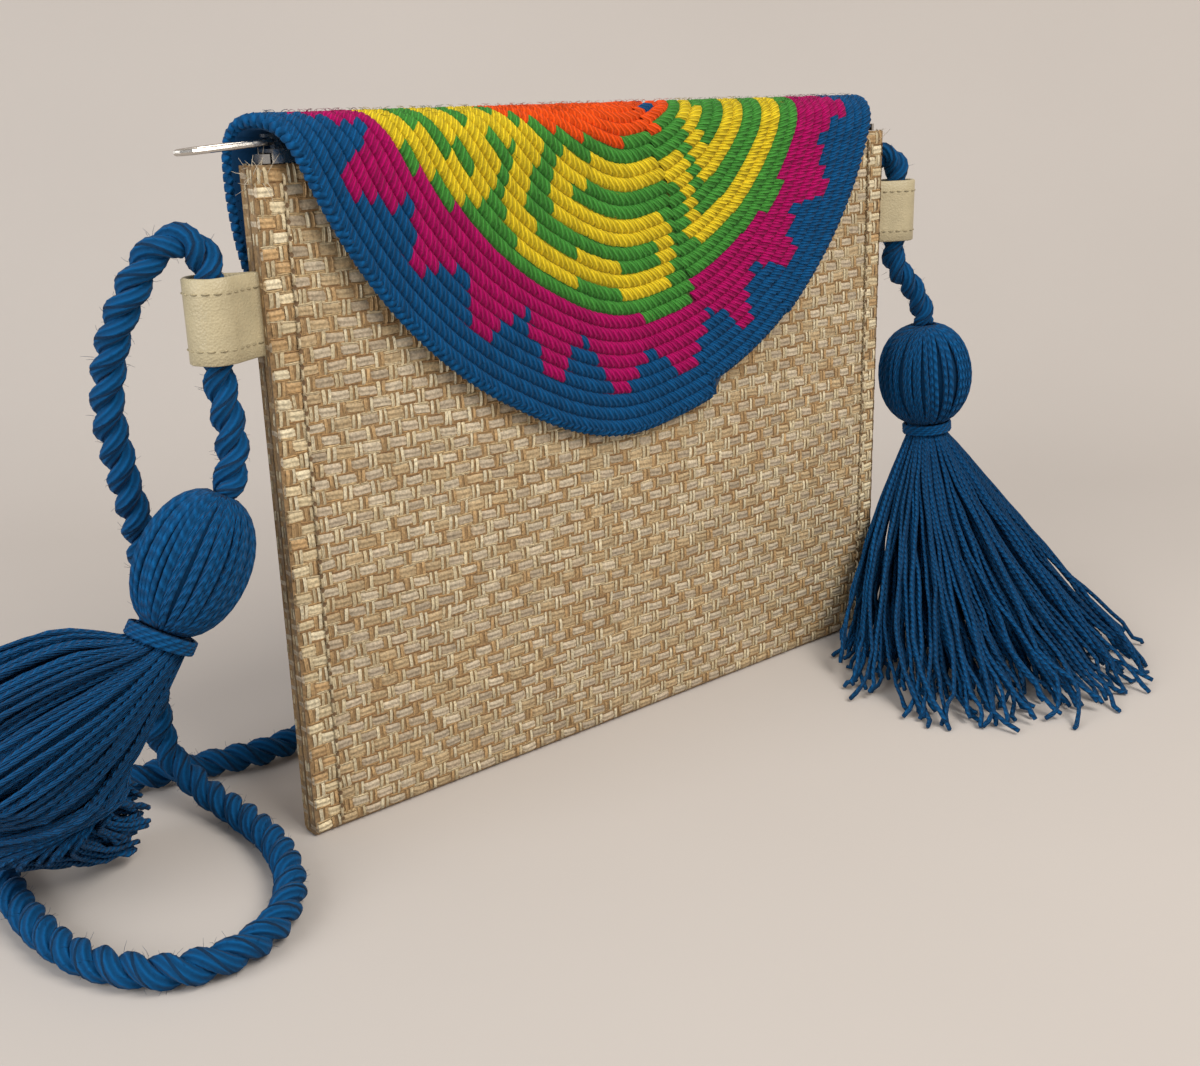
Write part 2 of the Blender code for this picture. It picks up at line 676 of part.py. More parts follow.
def main():
    clear_scene()
    make_body()
    make_flap()
    make_zip_row("zip_row_front", -1, 0.0)
    make_zip_row("zip_row_back", 1, TOOTH_PITCH / 2)
    make_zip_stop("zip_stop_left", -1)
    make_zip_stop("zip_stop_right", 1)
    make_slider()
    make_pull()
    make_loop("leather_loop_left", -1, LOOP_LEFT_Z)
    make_loop("leather_loop_right", 1, LOOP_RIGHT_Z)
    make_cord()
    make_head("tassel_left_head", HEAD_LEFT_TOP, HEAD_LEFT_FOOT, HEAD_LEFT_HALF_W)
    make_head("tassel_right_head", HEAD_RIGHT_TOP, HEAD_RIGHT_FOOT, HEAD_RIGHT_HALF_W)
    make_left_skirt()
    make_right_skirt()
    make_binding("tassel_left_binding", HEAD_LEFT_TOP, HEAD_LEFT_FOOT)
    make_binding("tassel_right_binding", HEAD_RIGHT_TOP, HEAD_RIGHT_FOOT)


main()
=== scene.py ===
# Looks of the flap clutch bag: woven straw, crochet flap, twisted cord, tassels.
# Units are metres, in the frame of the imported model.
import math
import random
from bisect import bisect_right

import bpy
from mathutils import Matrix, Vector, noise


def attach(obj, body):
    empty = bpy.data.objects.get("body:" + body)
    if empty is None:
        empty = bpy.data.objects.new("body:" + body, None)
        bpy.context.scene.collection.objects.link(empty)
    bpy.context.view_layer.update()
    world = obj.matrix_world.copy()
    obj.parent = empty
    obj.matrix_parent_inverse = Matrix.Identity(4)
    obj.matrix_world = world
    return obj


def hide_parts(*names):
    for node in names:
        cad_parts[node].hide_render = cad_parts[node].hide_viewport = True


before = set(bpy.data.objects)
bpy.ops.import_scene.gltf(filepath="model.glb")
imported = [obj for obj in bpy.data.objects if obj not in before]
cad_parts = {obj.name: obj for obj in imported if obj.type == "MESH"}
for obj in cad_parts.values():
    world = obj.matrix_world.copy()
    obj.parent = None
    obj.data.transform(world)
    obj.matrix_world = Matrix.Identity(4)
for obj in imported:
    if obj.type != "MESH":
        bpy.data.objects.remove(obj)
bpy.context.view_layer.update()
random.seed(7)
TAU = 2.0 * math.pi

# Sizes shared with the solids
CLEAR = 0.0003
BODY_W = 0.250
BODY_H = 0.190
BODY_T = 0.008
WALL = 0.0016
FOLD_EDGE = 0.0015
HEM_W = 0.009
BULGE = 0.003
FLAP_T = 0.0045
FLAP_POLE_U = -0.006
FLAP_POLE_V = -0.016
FOLD_RISE = 0.0131
FOLD_POWER = 2.4
FLAP_EDGE_RADII = (
    0.119, 0.119, 0.119, 0.121, 0.124, 0.117, 0.113, 0.113,
    0.119, 0.121, 0.121, 0.120, 0.120, 0.119, 0.119, 0.119,
)
LOOP_H = 0.022
LOOP_LEATHER = 0.0015
LOOP_OUT = 0.013
LOOP_SLACK = 0.0007
LOOP_TAIL = 0.006
LOOP_LEFT_Z = 0.1525
LOOP_RIGHT_Z = 0.1610
LOOP_ROPE_X = BODY_W / 2 + LOOP_OUT
CORD_D = 0.0095
CORD_LEAD = 0.0055
HEAD_LEFT_HALF_W = 0.0148
HEAD_RIGHT_HALF_W = 0.0180
NECK_R = 0.0085
NECK_L = 0.0038
HEAD_LEFT_TOP = Vector((-0.141, 0.000, 0.106))
HEAD_LEFT_FOOT = Vector((-0.161, 0.000, 0.074))
HEAD_RIGHT_TOP = Vector((0.153, -0.004, 0.116))
HEAD_RIGHT_FOOT = Vector((0.155, -0.006, 0.078))
SKIRT_LEFT = (
    ((-0.170, 0.001, 0.0655), 0.0125), ((-0.180, 0.003, 0.0610), 0.0205),
    ((-0.191, 0.006, 0.055), 0.0255), ((-0.197, 0.009, 0.0445), 0.0270),
    ((-0.197, 0.013, 0.036), 0.0240), ((-0.190, 0.018, 0.0265), 0.0175),
    ((-0.180, 0.023, 0.0165), 0.0130), ((-0.169, 0.027, 0.0115), 0.0105),
)
SKIRT_RIGHT = (
    ((0.154, -0.009, 0.068), 0.014, 0.011),
    ((0.149, -0.017, 0.055), 0.026, 0.019), ((0.141, -0.030, 0.038), 0.040, 0.030),
    ((0.132, -0.046, 0.020), 0.053, 0.041), ((0.125, -0.060, 0.007), 0.062, 0.050),
    ((0.123, -0.064, 0.000), 0.066, 0.055),
)
CORD_ROUTE = (
    (-0.1365, 0.000, 0.121), (-0.138, 0.000, 0.1360), (-0.138, 0.000, 0.1450),
    (-0.138, 0.000, 0.1600), (-0.138, 0.000, 0.1660), (-0.1415, 0.001, 0.1725),
    (-0.149, 0.004, 0.171), (-0.156, 0.008, 0.160), (-0.160, 0.014, 0.146),
    (-0.161, 0.019, 0.130), (-0.158, 0.023, 0.112), (-0.153, 0.029, 0.090),
    (-0.150, 0.037, 0.060), (-0.149, 0.045, 0.034), (-0.147, 0.045, 0.0175),
    (-0.142, 0.031, 0.0075), (-0.139, 0.013, 0.0050), (-0.140, -0.008, 0.0050),
    (-0.147, -0.029, 0.0050), (-0.159, -0.043, 0.0050), (-0.174, -0.048, 0.0050),
    (-0.188, -0.044, 0.0050), (-0.198, -0.032, 0.0050), (-0.204, -0.014, 0.0050),
    (-0.205, 0.012, 0.0050), (-0.201, 0.038, 0.0050), (-0.189, 0.058, 0.0050),
    (-0.170, 0.064, 0.0050), (-0.150, 0.060, 0.0050), (-0.131, 0.054, 0.0050),
    (-0.112, 0.050, 0.0050), (-0.090, 0.054, 0.0050), (-0.060, 0.068, 0.0050),
    (-0.025, 0.078, 0.0050), (0.012, 0.076, 0.0050), (0.045, 0.062, 0.0050),
    (0.072, 0.045, 0.0060), (0.092, 0.034, 0.018), (0.103, 0.029, 0.050),
    (0.109, 0.027, 0.090), (0.114, 0.025, 0.130), (0.121, 0.020, 0.162),
    (0.129, 0.010, 0.179), (0.1365, 0.001, 0.180), (0.138, 0.000, 0.1720),
    (0.138, 0.000, 0.1620), (0.138, 0.000, 0.1480), (0.1395, 0.000, 0.140),
    (0.147, -0.002, 0.132),
)

# Details that only the looks have
STITCH = 0.0022
STITCH_SLANT = -0.0012
WEAVE_COLUMN = 0.0042
WEAVE_ROW = 0.0039
WEAVE_EDGE = 0.0006
ROPE_PITCH = 0.0165
YARN_R = 0.00072
FLAP_ROUNDS = 30
FLAP_STEP_FROM = 52.0
FLAP_STEP_AT = 72.0
FLAP_STEP_TO = 92.0
SEAM_IN = 0.0085
SEAM_START = 0.004
SEAM_END = 0.005
SEAM_PITCH = 0.0042
LOWEST = 0.0003
# Share of a half turn left off at each end of a head, and how full the head is
HEAD_END = 0.07
HEAD_FULL = 0.85


def rgb(red, green, blue):
    """Screen colour from 0 to 255 as linear light."""
    out = []
    for value in (red, green, blue):
        s = value / 255.0
        out.append(s / 12.92 if s <= 0.04045 else ((s + 0.055) / 1.055) ** 2.4)
    return tuple(out)


BLUE = rgb(0, 71, 118)
MAGENTA = rgb(162, 0, 86)
GREEN = rgb(62, 132, 50)
YELLOW = rgb(212, 184, 32)
ORANGE = rgb(226, 76, 12)
# Straws by their place in the weave: thick weft, thin yarns beside it, upright warp
WEFT = (rgb(182, 165, 140), rgb(172, 154, 128), rgb(190, 174, 148), rgb(178, 154, 117))
BESIDE = (rgb(204, 184, 147), rgb(170, 135, 90), rgb(192, 165, 122), rgb(158, 122, 80))
WARP = (rgb(212, 195, 159), rgb(200, 181, 144), rgb(219, 204, 171), rgb(184, 150, 105))
GROUND = rgb(150, 121, 84)
SEAM_THREAD = rgb(190, 172, 138)
# Painted shade inside the side seam's needle holes
SEAM_HOLE_SHADE = rgb(108, 84, 58)
FRAY = rgb(224, 210, 186)
LEATHER = rgb(182, 168, 134)
LEATHER_THREAD = rgb(166, 152, 120)
METAL = rgb(196, 190, 182)
TAPE = rgb(34, 30, 28)
FLOOR = rgb(192, 184, 177)


def shaded(colour, spread):
    """The colour, a little lighter or darker at random."""
    k = 1.0 + random.uniform(-spread, spread)
    return (colour[0] * k, colour[1] * k, colour[2] * k)


def random_vector(*spans):
    return Vector([random.uniform(low, high) for low, high in spans])


def spline(a, b, c, d, t):
    """Catmull-Rom value between b and c at t from 0 to 1."""
    return b + 0.5 * t * (c - a + t * (2 * a - 5 * b + 4 * c - d + t * (3 * (b - c) + d - a)))


# Camera: the photograph's own view, solved from the panel's corners
def add_camera():
    azimuth, elevation, roll = (math.radians(a) for a in (-39.98, 17.33, -1.62))
    back = Vector((
        math.sin(azimuth) * math.cos(elevation),
        -math.cos(azimuth) * math.cos(elevation),
        math.sin(elevation),
    ))
    level = (-back).cross(Vector((0.0, 0.0, 1.0))).normalized()
    above = level.cross(-back)
    right = level * math.cos(roll) + above * math.sin(roll)
    up = above * math.cos(roll) - level * math.sin(roll)
    turn = Matrix((right, up, back)).transposed().to_4x4()
    turn.translation = (-0.29246, -0.33568, 0.20372)
    data = bpy.data.cameras.new("camera")
    data.lens = 41.72
    data.sensor_width = 36.0
    data.clip_start = 0.01
    data.clip_end = 20.0
    camera = bpy.data.objects.new("camera", data)
    bpy.context.collection.objects.link(camera)
    camera.matrix_world = turn
    bpy.context.scene.camera = camera


# Materials
def new_material(name, roughness, sheen=0.0, specular=0.5):
    mat = bpy.data.materials.new(name)
    mat.use_nodes = True
    shader = mat.node_tree.nodes["Principled BSDF"]
    shader.inputs["Roughness"].default_value = roughness
    shader.inputs["Sheen Weight"].default_value = sheen
    shader.inputs["Sheen Roughness"].default_value = 0.5
    shader.inputs["Specular IOR Level"].default_value = specular
    return mat, mat.node_tree, shader


def node(tree, kind, inputs=None, **settings):
    made = tree.nodes.new(kind)
    for key, value in settings.items():
        setattr(made, key, value)
    for key, value in (inputs or {}).items():
        if isinstance(value, bpy.types.NodeSocket):
            tree.links.new(value, made.inputs[key])
        else:
            made.inputs[key].default_value = value
    return made


def add_bump(tree, shader, height, distance, strength=1.0):
    bump = node(tree, "ShaderNodeBump", {"Height": height, "Strength": strength, "Distance": distance})
    tree.links.new(bump.outputs[0], shader.inputs["Normal"])


def mixed_colour(tree, base, factor, dark, light):
    """Base colour times a grey that runs from dark to light with factor."""
    ramp = node(tree, "ShaderNodeMapRange", {"Value": factor, "To Min": dark, "To Max": light})
    scale = node(tree, "ShaderNodeVectorMath", {0: base, "Scale": ramp.outputs[0]}, operation="SCALE")
    return scale.outputs[0]


def fibre_noise(tree, scale, detail=3.0):
    place = node(tree, "ShaderNodeTexCoord").outputs["Object"]
    return node(tree, "ShaderNodeTexNoise", {"Vector": place, "Scale": scale, "Detail": detail})


def yarn_material(name, sheen=0.3, bump=0.0003):
    """Twisted yarn: tint from the mesh, slanted plies from its UV map, fine fibres; the colour follows the
    ply height, with painted shade in the grooves and painted highlight on the crests.
    """
    mat, tree, shader = new_material(name, 0.85, sheen, 0.15)
    tint = node(tree, "ShaderNodeAttribute", attribute_name="tint")
    uv = node(tree, "ShaderNodeUVMap", uv_map="ply")
    split = node(tree, "ShaderNodeSeparateXYZ", {0: uv.outputs[0]})
    total = node(tree, "ShaderNodeMath", {0: split.outputs[1], 1: split.outputs[0]}, operation="ADD")
    turn = node(tree, "ShaderNodeMath", {0: total.outputs[0], 1: TAU}, operation="MULTIPLY")
    wave = node(tree, "ShaderNodeMath", {0: turn.outputs[0]}, operation="SINE")
    fibre = fibre_noise(tree, 1400.0)
    height = node(tree, "ShaderNodeMath", {0: wave.outputs[0], 1: fibre.outputs[0]}, operation="ADD")
    # Painted shade in the grooves between plies and painted highlight on their crests, mixed with random
    # fibre tone
    limits = {"Value": height.outputs[0], "From Min": -0.6, "From Max": 1.6}
    shade = node(tree, "ShaderNodeMapRange", limits)
    colour = mixed_colour(tree, tint.outputs["Color"], shade.outputs[0], 0.7, 1.22)
    tree.links.new(colour, shader.inputs["Base Color"])
    add_bump(tree, shader, height.outputs[0], bump)
    return mat


def straw_material():
    mat, tree, shader = new_material("straw", 0.62, 0.05, 0.3)
    tint = node(tree, "ShaderNodeAttribute", attribute_name="tint")
    uv = node(tree, "ShaderNodeUVMap", uv_map="ply")
    split = node(tree, "ShaderNodeSeparateXYZ", {0: uv.outputs[0]})
    turn = node(tree, "ShaderNodeMath", {0: split.outputs[0], 1: TAU}, operation="MULTIPLY")
    wave = node(tree, "ShaderNodeMath", {0: turn.outputs[0]}, operation="SINE")
    fibre = fibre_noise(tree, 1300.0, 5.0)
    stain = fibre_noise(tree, 28.0)
    height = node(tree, "ShaderNodeMath", {0: wave.outputs[0], 1: fibre.outputs[0]}, operation="ADD")
    limits = {"Value": fibre.outputs[0], "From Min": 0.3, "From Max": 0.7}
    shade = node(tree, "ShaderNodeMapRange", limits)
    colour = mixed_colour(tree, tint.outputs["Color"], shade.outputs[0], 0.66, 1.26)
    patchy = mixed_colour(tree, colour, stain.outputs[0], 0.86, 1.12)
    tree.links.new(patchy, shader.inputs["Base Color"])
    add_bump(tree, shader, height.outputs[0], 0.00012)
    return mat


def cloth_material(name, colour, scale):
    mat, tree, shader = new_material(name, 0.9, 0.1)
    fibre = fibre_noise(tree, scale, 4.0)
    base = node(tree, "ShaderNodeRGB")
    base.outputs[0].default_value = (*colour, 1.0)
    mixed = mixed_colour(tree, base.outputs[0], fibre.outputs[0], 0.6, 1.4)
    tree.links.new(mixed, shader.inputs["Base Color"])
    add_bump(tree, shader, fibre.outputs[0], 0.0003)
    return mat


def leather_material():
    mat, tree, shader = new_material("leather", 0.5)
    place = node(tree, "ShaderNodeTexCoord").outputs["Object"]
    pores = node(tree, "ShaderNodeTexVoronoi", {"Vector": place, "Scale": 1500.0})
    patch = fibre_noise(tree, 160.0, 4.0)
    base = node(tree, "ShaderNodeRGB")
    base.outputs[0].default_value = (*LEATHER, 1.0)
    colour = mixed_colour(tree, base.outputs[0], patch.outputs[0], 0.78, 1.16)
    tree.links.new(colour, shader.inputs["Base Color"])
    height = node(tree, "ShaderNodeMath", {0: pores.outputs[0], 1: patch.outputs[0]}, operation="ADD")
    add_bump(tree, shader, height.outputs[0], 0.00025, 0.6)
    rough = node(tree, "ShaderNodeMapRange", {"Value": patch.outputs[0], "To Min": 0.38, "To Max": 0.62})
    tree.links.new(rough.outputs[0], shader.inputs["Roughness"])
    return mat


def metal_material():
    mat, tree, shader = new_material("zip_metal", 0.22)
    shader.inputs["Metallic"].default_value = 1.0
    shader.inputs["Base Color"].default_value = (*METAL, 1.0)
    wear = fibre_noise(tree, 700.0, 4.0)
    rough = node(tree, "ShaderNodeMapRange", {"Value": wear.outputs[0], "To Min": 0.12, "To Max": 0.38})
    tree.links.new(rough.outputs[0], shader.inputs["Roughness"])
    add_bump(tree, shader, wear.outputs[0], 0.00005)
    return mat


# Mesh building
class Builder:
    """Collects vertices, faces, tints and ply coordinates for one mesh."""

    def __init__(self):
        self.verts = []
        self.faces = []
        self.tints = []
        self.plies = []

    def point(self, place, tint, ply=(0.0, 0.0)):
        self.verts.append(tuple(place))
        self.tints.append(tint)
        self.plies.append(ply)
        return len(self.verts) - 1

    def grid(self, rows, closed=False):
        """Quads between rows of point numbers, closed joins each row's ends."""
        for near, far in zip(rows, rows[1:]):
            count = len(near)
            for i in range(count if closed else count - 1):
                j = (i + 1) % count
                self.faces.append((near[i], near[j], far[j], far[i]))

    def tube(self, path, radii, sides, tint, turns=1.0, ply_length=0.003, cap=True):
        """Round yarn along a path of places; plies run round it as they go along."""
        run = random.uniform(0.0, 0.01)
        rows = []
        side = None
        for i, place in enumerate(path):
            ahead = path[min(i + 1, len(path) - 1)] - path[max(i - 1, 0)]
            if ahead.length < 1e-9:
                ahead = Vector((0.0, 0.0, 1.0))
            ahead.normalize()
            if side is None:
                side = ahead.orthogonal().normalized()
            side = (side - ahead * side.dot(ahead)).normalized()
            other = ahead.cross(side)
            if i:
                run += (place - path[i - 1]).length
            radius = radii[i] if isinstance(radii, (list, tuple)) else radii
            row = []
            for k in range(sides):
                a = TAU * k / sides
                spot = place + side * (radius * math.cos(a)) + other * (radius * math.sin(a))
                row.append(self.point(spot, tint, (turns * k / sides, run / ply_length)))
            rows.append(row)
        self.grid(rows, closed=True)
        if cap:
            self.faces.append(tuple(reversed(rows[0])))
            self.faces.append(tuple(rows[-1]))

    def make(self, name, material):
        """Object of the mesh, on the bag's body, with the material in its slot."""
        mesh = bpy.data.meshes.new(name)
        mesh.from_pydata(self.verts, [], self.faces)
        mesh.polygons.foreach_set("use_smooth", [True] * len(mesh.polygons))
        tint = mesh.color_attributes.new("tint", "FLOAT_COLOR", "POINT")
        flat = []
        for red, green, blue in self.tints:
            flat += (red, green, blue, 1.0)
        tint.data.foreach_set("color", flat)
        layer = mesh.uv_layers.new(name="ply")
        corners = [0] * len(mesh.loops)
        mesh.loops.foreach_get("vertex_index", corners)
        flat = []
        for index in corners:
            flat += self.plies[index]
        layer.data.foreach_set("uv", flat)
        mesh.materials.append(material)
        mesh.update()
        piece = bpy.data.objects.new(name, mesh)
        bpy.context.collection.objects.link(piece)
        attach(piece, "bag")
        return piece


def curve_through(points, step):
    """Catmull-Rom curve through the points, at even steps."""
    ends = [points[0]] + list(points) + [points[-1]]
    fine = []
    for a, b, c, d in zip(ends, ends[1:], ends[2:], ends[3:]):
        a, b, c, d = (Vector(p) for p in (a, b, c, d))
        pieces = max(2, int((c - b).length / 0.0008))
        for k in range(pieces):
            t = k / pieces
            fine.append(spline(a, b, c, d, t))
    fine.append(Vector(points[-1]))
    return even_steps(fine, step)


def even_steps(points, step):
    runs = [0.0]
    for a, b in zip(points, points[1:]):
        runs.append(runs[-1] + (b - a).length)
    count = max(2, round(runs[-1] / step))
    result = []
    for i in range(count + 1):
        want = runs[-1] * i / count
        k = min(max(bisect_right(runs, want) - 1, 0), len(points) - 2)
        span = runs[k + 1] - runs[k]
        share = 0.0 if span < 1e-12 else (want - runs[k]) / span
        result.append(points[k].lerp(points[k + 1], share))
    return result


def length_of(points):
    return sum((b - a).length for a, b in zip(points, points[1:]))


# Twisted cord
def cord_path():
    points = [Vector(p) for p in CORD_ROUTE]
    lead_left = (HEAD_LEFT_TOP - HEAD_LEFT_FOOT).normalized()
    lead_right = (HEAD_RIGHT_TOP - HEAD_RIGHT_FOOT).normalized()
    start = [HEAD_LEFT_TOP + lead_left * CLEAR, HEAD_LEFT_TOP + lead_left * CORD_LEAD]
    end = [HEAD_RIGHT_TOP + lead_right * CORD_LEAD, HEAD_RIGHT_TOP + lead_right * CLEAR]
    return curve_through(start + points + end, 0.0013)


def make_cord(material):
    """Two strands laid round each other, each of fluted yarns with the other twist."""
    path = cord_path()
    centre_out = 0.20 * CORD_D
    strand_r = 0.283 * CORD_D
    sides = 20
    yarns = 4
    side = None
    frames = []
    for i, place in enumerate(path):
        ahead = (path[min(i + 1, len(path) - 1)] - path[max(i - 1, 0)]).normalized()
        if side is None:
            side = ahead.orthogonal().normalized()
        side = (side - ahead * side.dot(ahead)).normalized()
        frames.append((place, ahead, side, ahead.cross(side)))
    shape = Builder()
    step = length_of(path) / (len(path) - 1)
    slope = TAU * centre_out / ROPE_PITCH
    for strand in range(2):
        rows = []
        tint = shaded(BLUE, 0.05)
        for i, (place, ahead, side, other) in enumerate(frames):
            run = i * step
            a = TAU * run / ROPE_PITCH + math.pi * strand
            out = side * math.cos(a) + other * math.sin(a)
            round_it = other * math.cos(a) - side * math.sin(a)
            along = (ahead + round_it * slope).normalized()
            across = along.cross(out)
            slack = 1.0 + 0.04 * noise.noise(Vector((run * 90.0, strand * 5.0, 0.0)))
            taper = 1.0
            if i in (0, len(path) - 1):
                taper = min(1.0, 0.75 + 30.0 * min(run, length_of(path) - run))
            middle = place + out * centre_out
            row = []
            for k in range(sides):
                b = TAU * k / sides
                swell = 1.0 + 0.045 * math.cos(yarns * b + TAU * run / 0.0125)
                r = strand_r * swell * slack * taper
                spot = middle + out * (r * math.cos(b)) + across * (r * math.sin(b))
                spot.z = max(spot.z, LOWEST)
                row.append(shape.point(spot, tint, (yarns * 2 * k / sides, run / 0.0062)))
            rows.append(row)
        shape.grid(rows, closed=True)
        shape.faces.append(tuple(reversed(rows[0])))
        shape.faces.append(tuple(rows[-1]))
    rope = shape.make("strap_rope", material)
    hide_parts("strap_cord")
    return rope, path


def make_rope_fuzz(path, material):
    """Short loose fibres that stand off the cord."""
    shape = Builder()
    for _ in range(2600):
        place = path[random.randrange(4, len(path) - 4)]
        out = Vector([random.gauss(0.0, 1.0) for _ in range(3)]).normalized()
        curl = random_vector((-1, 1), (-1, 1), (-1, 1)) * 0.0012
        size = random.uniform(0.0008, 0.0022)
        fibre = [place + out * (0.40 * CORD_D + size * t) + curl * (t * t) for t in (0.0, 0.5, 1.0)]
        if min(spot.z for spot in fibre) < 0.0004:
            continue
        shape.tube(fibre, [0.00006, 0.00005, 0.00003], 3, shaded(BLUE, 0.2), cap=False)
    return shape.make("rope_fuzz", material)


# Woven straw body
def bulge_at(x, z):
    across = 1.0 - (x / (BODY_W / 2)) ** 2
    return BULGE * across * math.sin(math.pi * min(max(z / BODY_H, 0.0), 1.0))


def make_body_sheet(material):
    """The sheet itself: outer and inner leaf, pressed together in the side hems."""
    half = BODY_W / 2
    hem = half - HEM_W
    stations = [-half, -hem - 0.0004]
    stations += [-hem + 2 * hem * i / 20 for i in range(21)]
    stations += [hem + 0.0004, half]
    levels = [FOLD_EDGE + (BODY_H - FOLD_EDGE) * i / 24 for i in range(25)]
    shape = Builder()
    rows = []
    for x in stations:
        ring = []
        in_hem = abs(x) > hem
        sides = []
        for z in levels:
            out = BODY_T / 2 + bulge_at(x, z) - 0.0006
            inner = 0.00015 if in_hem else out - WALL + 0.0006
            sides.append((out, z, inner, max(z, WALL + 0.0004)))
        ring += [shape.point((x, -out, z), GROUND) for out, z, _, _ in reversed(sides)]
        ring += [shape.point((x, -BODY_T / 2 + FOLD_EDGE, LOWEST), GROUND)]
        ring += [shape.point((x, BODY_T / 2 - FOLD_EDGE, LOWEST), GROUND)]
        ring += [shape.point((x, out, z), GROUND) for out, z, _, _ in sides]
        ring += [shape.point((x, inner, z), GROUND) for _, _, inner, z in reversed(sides)]
        ring += [shape.point((x, -inner, z), GROUND) for _, _, inner, z in sides]
        rows.append(ring)
    shape.grid(rows, closed=True)
    for row in (rows[0], rows[-1]):
        count = len(row)
        for i in range(count // 2 - 1):
            shape.faces.append((row[i], row[i + 1], row[count - 2 - i], row[count - 1 - i]))
    sheet = shape.make("body_sheet", material)
    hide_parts("woven_body")
    return sheet


class Leaf:
    """Flat place (a, b) on one outer face of the bag, lifted off it."""

    def __init__(self, side):
        self.side = side
        self.flip = side > 0

    def place(self, a, b, lift):
        x = min(max(a, -BODY_W / 2), BODY_W / 2)
        z = min(max(b, 0.0004), BODY_H + 0.0004)
        y = BODY_T / 2 + bulge_at(x, z) - 0.0003 + lift - max(0.0, FOLD_EDGE - z)
        return (x, self.side * y, z)


class End:
    """Flat place (a, b) on one narrow end face of the bag."""

    def __init__(self, side):
        self.side = side
        self.flip = side < 0

    def place(self, a, b, lift):
        y = min(max(a, -BODY_T / 2), BODY_T / 2)
        z = min(max(b, 0.0004), BODY_H + 0.0004)
        return (self.side * (BODY_W / 2 - 0.0001 + lift), y, z)


def add_float(shape, face, centre, along_a, reach, wide, high, tint):
    """One straw where it lies on top: a low arch with round edges."""
    skew = random.uniform(-0.00028, 0.00028)
    sway = random.uniform(-0.00022, 0.00022)
    rows = []
    for b in (-1.0, -0.42, 0.42, 1.0):
        row = []
        for a in (-1.0, -0.4, 0.4, 1.0):
            p = reach * b
            q = wide * a + skew * b + sway * (1.0 - b * b)
            flat = (centre[0] + p, centre[1] + q) if along_a else (centre[0] + q, centre[1] + p)
            lift = high * (1.0 - 1.2 * abs(b) ** 2.6) * (1.0 - 0.6 * a * a) - 0.0004
            row.append(shape.point(face.place(flat[0], flat[1], lift), tint, (a * 0.75, b)))
        rows.append(row if face.flip == along_a else row[::-1])
    shape.grid(rows)


def make_weave(name, face, width, material):
    """Thick weft between two thin yarns where it lies on top, a pair of warps elsewhere."""
    shape = Builder()
    columns = round(width / WEAVE_COLUMN)
    rows = round((BODY_H - 2 * WEAVE_EDGE) / WEAVE_ROW)
    step_a = width / columns
    step_b = (BODY_H - 2 * WEAVE_EDGE) / rows
    for j in range(rows):
        for i in range(columns):
            a = -width / 2 + (i + 0.5) * step_a
            b = WEAVE_EDGE + (j + 0.5) * step_b
            a += 0.0005 * noise.noise(Vector((a * 50.0, b * 50.0, 3.0)))
            b += 0.0006 * noise.noise(Vector((a * 40.0, b * 40.0, 9.0)))
            in_hem = abs(a) > BODY_W / 2 - HEM_W
            if (i + j) % 2 == 0:
                reach = step_a * random.uniform(0.74, 0.9)
                tint = shaded(random.choice(WARP if in_hem else WEFT), 0.12)
                high = random.uniform(0.0006, 0.0008)
                wide = step_b * random.uniform(0.29, 0.34)
                add_float(shape, face, (a, b), True, reach, wide, high, tint)
                for shift in (-0.41, 0.41):
                    tint = shaded(random.choice(BESIDE), 0.12)
                    spot = (a, b + shift * step_b)
                    high = random.uniform(0.0003, 0.0006)
                    add_float(shape, face, spot, True, reach, step_b * 0.10, high, tint)
            else:
                for shift in (-0.2, 0.2):
                    tint = shaded(random.choice(WARP), 0.12)
                    spot = (a + (shift + random.uniform(-0.05, 0.05)) * step_a, b)
                    reach = step_b * random.uniform(0.6, 0.85)
                    wide = step_a * random.uniform(0.09, 0.14)
                    high = random.uniform(0.0007, 0.001)
                    add_float(shape, face, spot, False, reach, wide, high, tint)
    shape.make(name, material)


def seam_places():
    """Every stitch of the side seams: the face it lies on, and its place."""
    for end in (-1, 1):
        for side in (-1, 1):
            z = SEAM_START
            while z < BODY_H - SEAM_END:
                yield end, side, end * (BODY_W / 2 - SEAM_IN), z
                z += SEAM_PITCH


def make_seams(thread):
    """Side seams: a row of small stitches through both leaves, on each side."""
    shape = Builder()
    for end, side, x, z in seam_places():
        y = side * (BODY_T / 2 + bulge_at(x, z) + 0.00035)
        jog = 0.0002 * noise.noise(Vector((z * 300.0, end, side)))
        path = []
        for t in (-1.0, -0.6, 0.0, 0.6, 1.0):
            sink = 0.0009 * t ** 4
            path.append(Vector((x + jog, y - side * sink, z + 0.0015 + 0.0015 * t)))
        shape.tube(path, 0.00042, 6, shaded(SEAM_THREAD, 0.1), ply_length=0.001)
    shape.make("side_seams", thread)


def make_seam_hole_shade(material):
    """Painted shade: dark discs that stand for the shade in the needle holes between the side seam's
    stitches.
    """
    shape = Builder()
    for _, side, x, z in seam_places():
        y = side * (BODY_T / 2 + bulge_at(x, z) + 0.00042)
        centre = shape.point((x, y - side * 0.0002, z - 0.0006), SEAM_HOLE_SHADE)
        ring = []
        for k in range(8):
            a = TAU * k / 8
            spot = (x + 0.0006 * math.cos(a), y, z - 0.0006 + 0.0007 * math.sin(a))
            ring.append(shape.point(spot, SEAM_HOLE_SHADE))
        for k in range(8):
            face = (centre, ring[k], ring[(k + 1) % 8])
            shape.faces.append(face if side < 0 else face[::-1])
    shape.make("seam_holes", material)


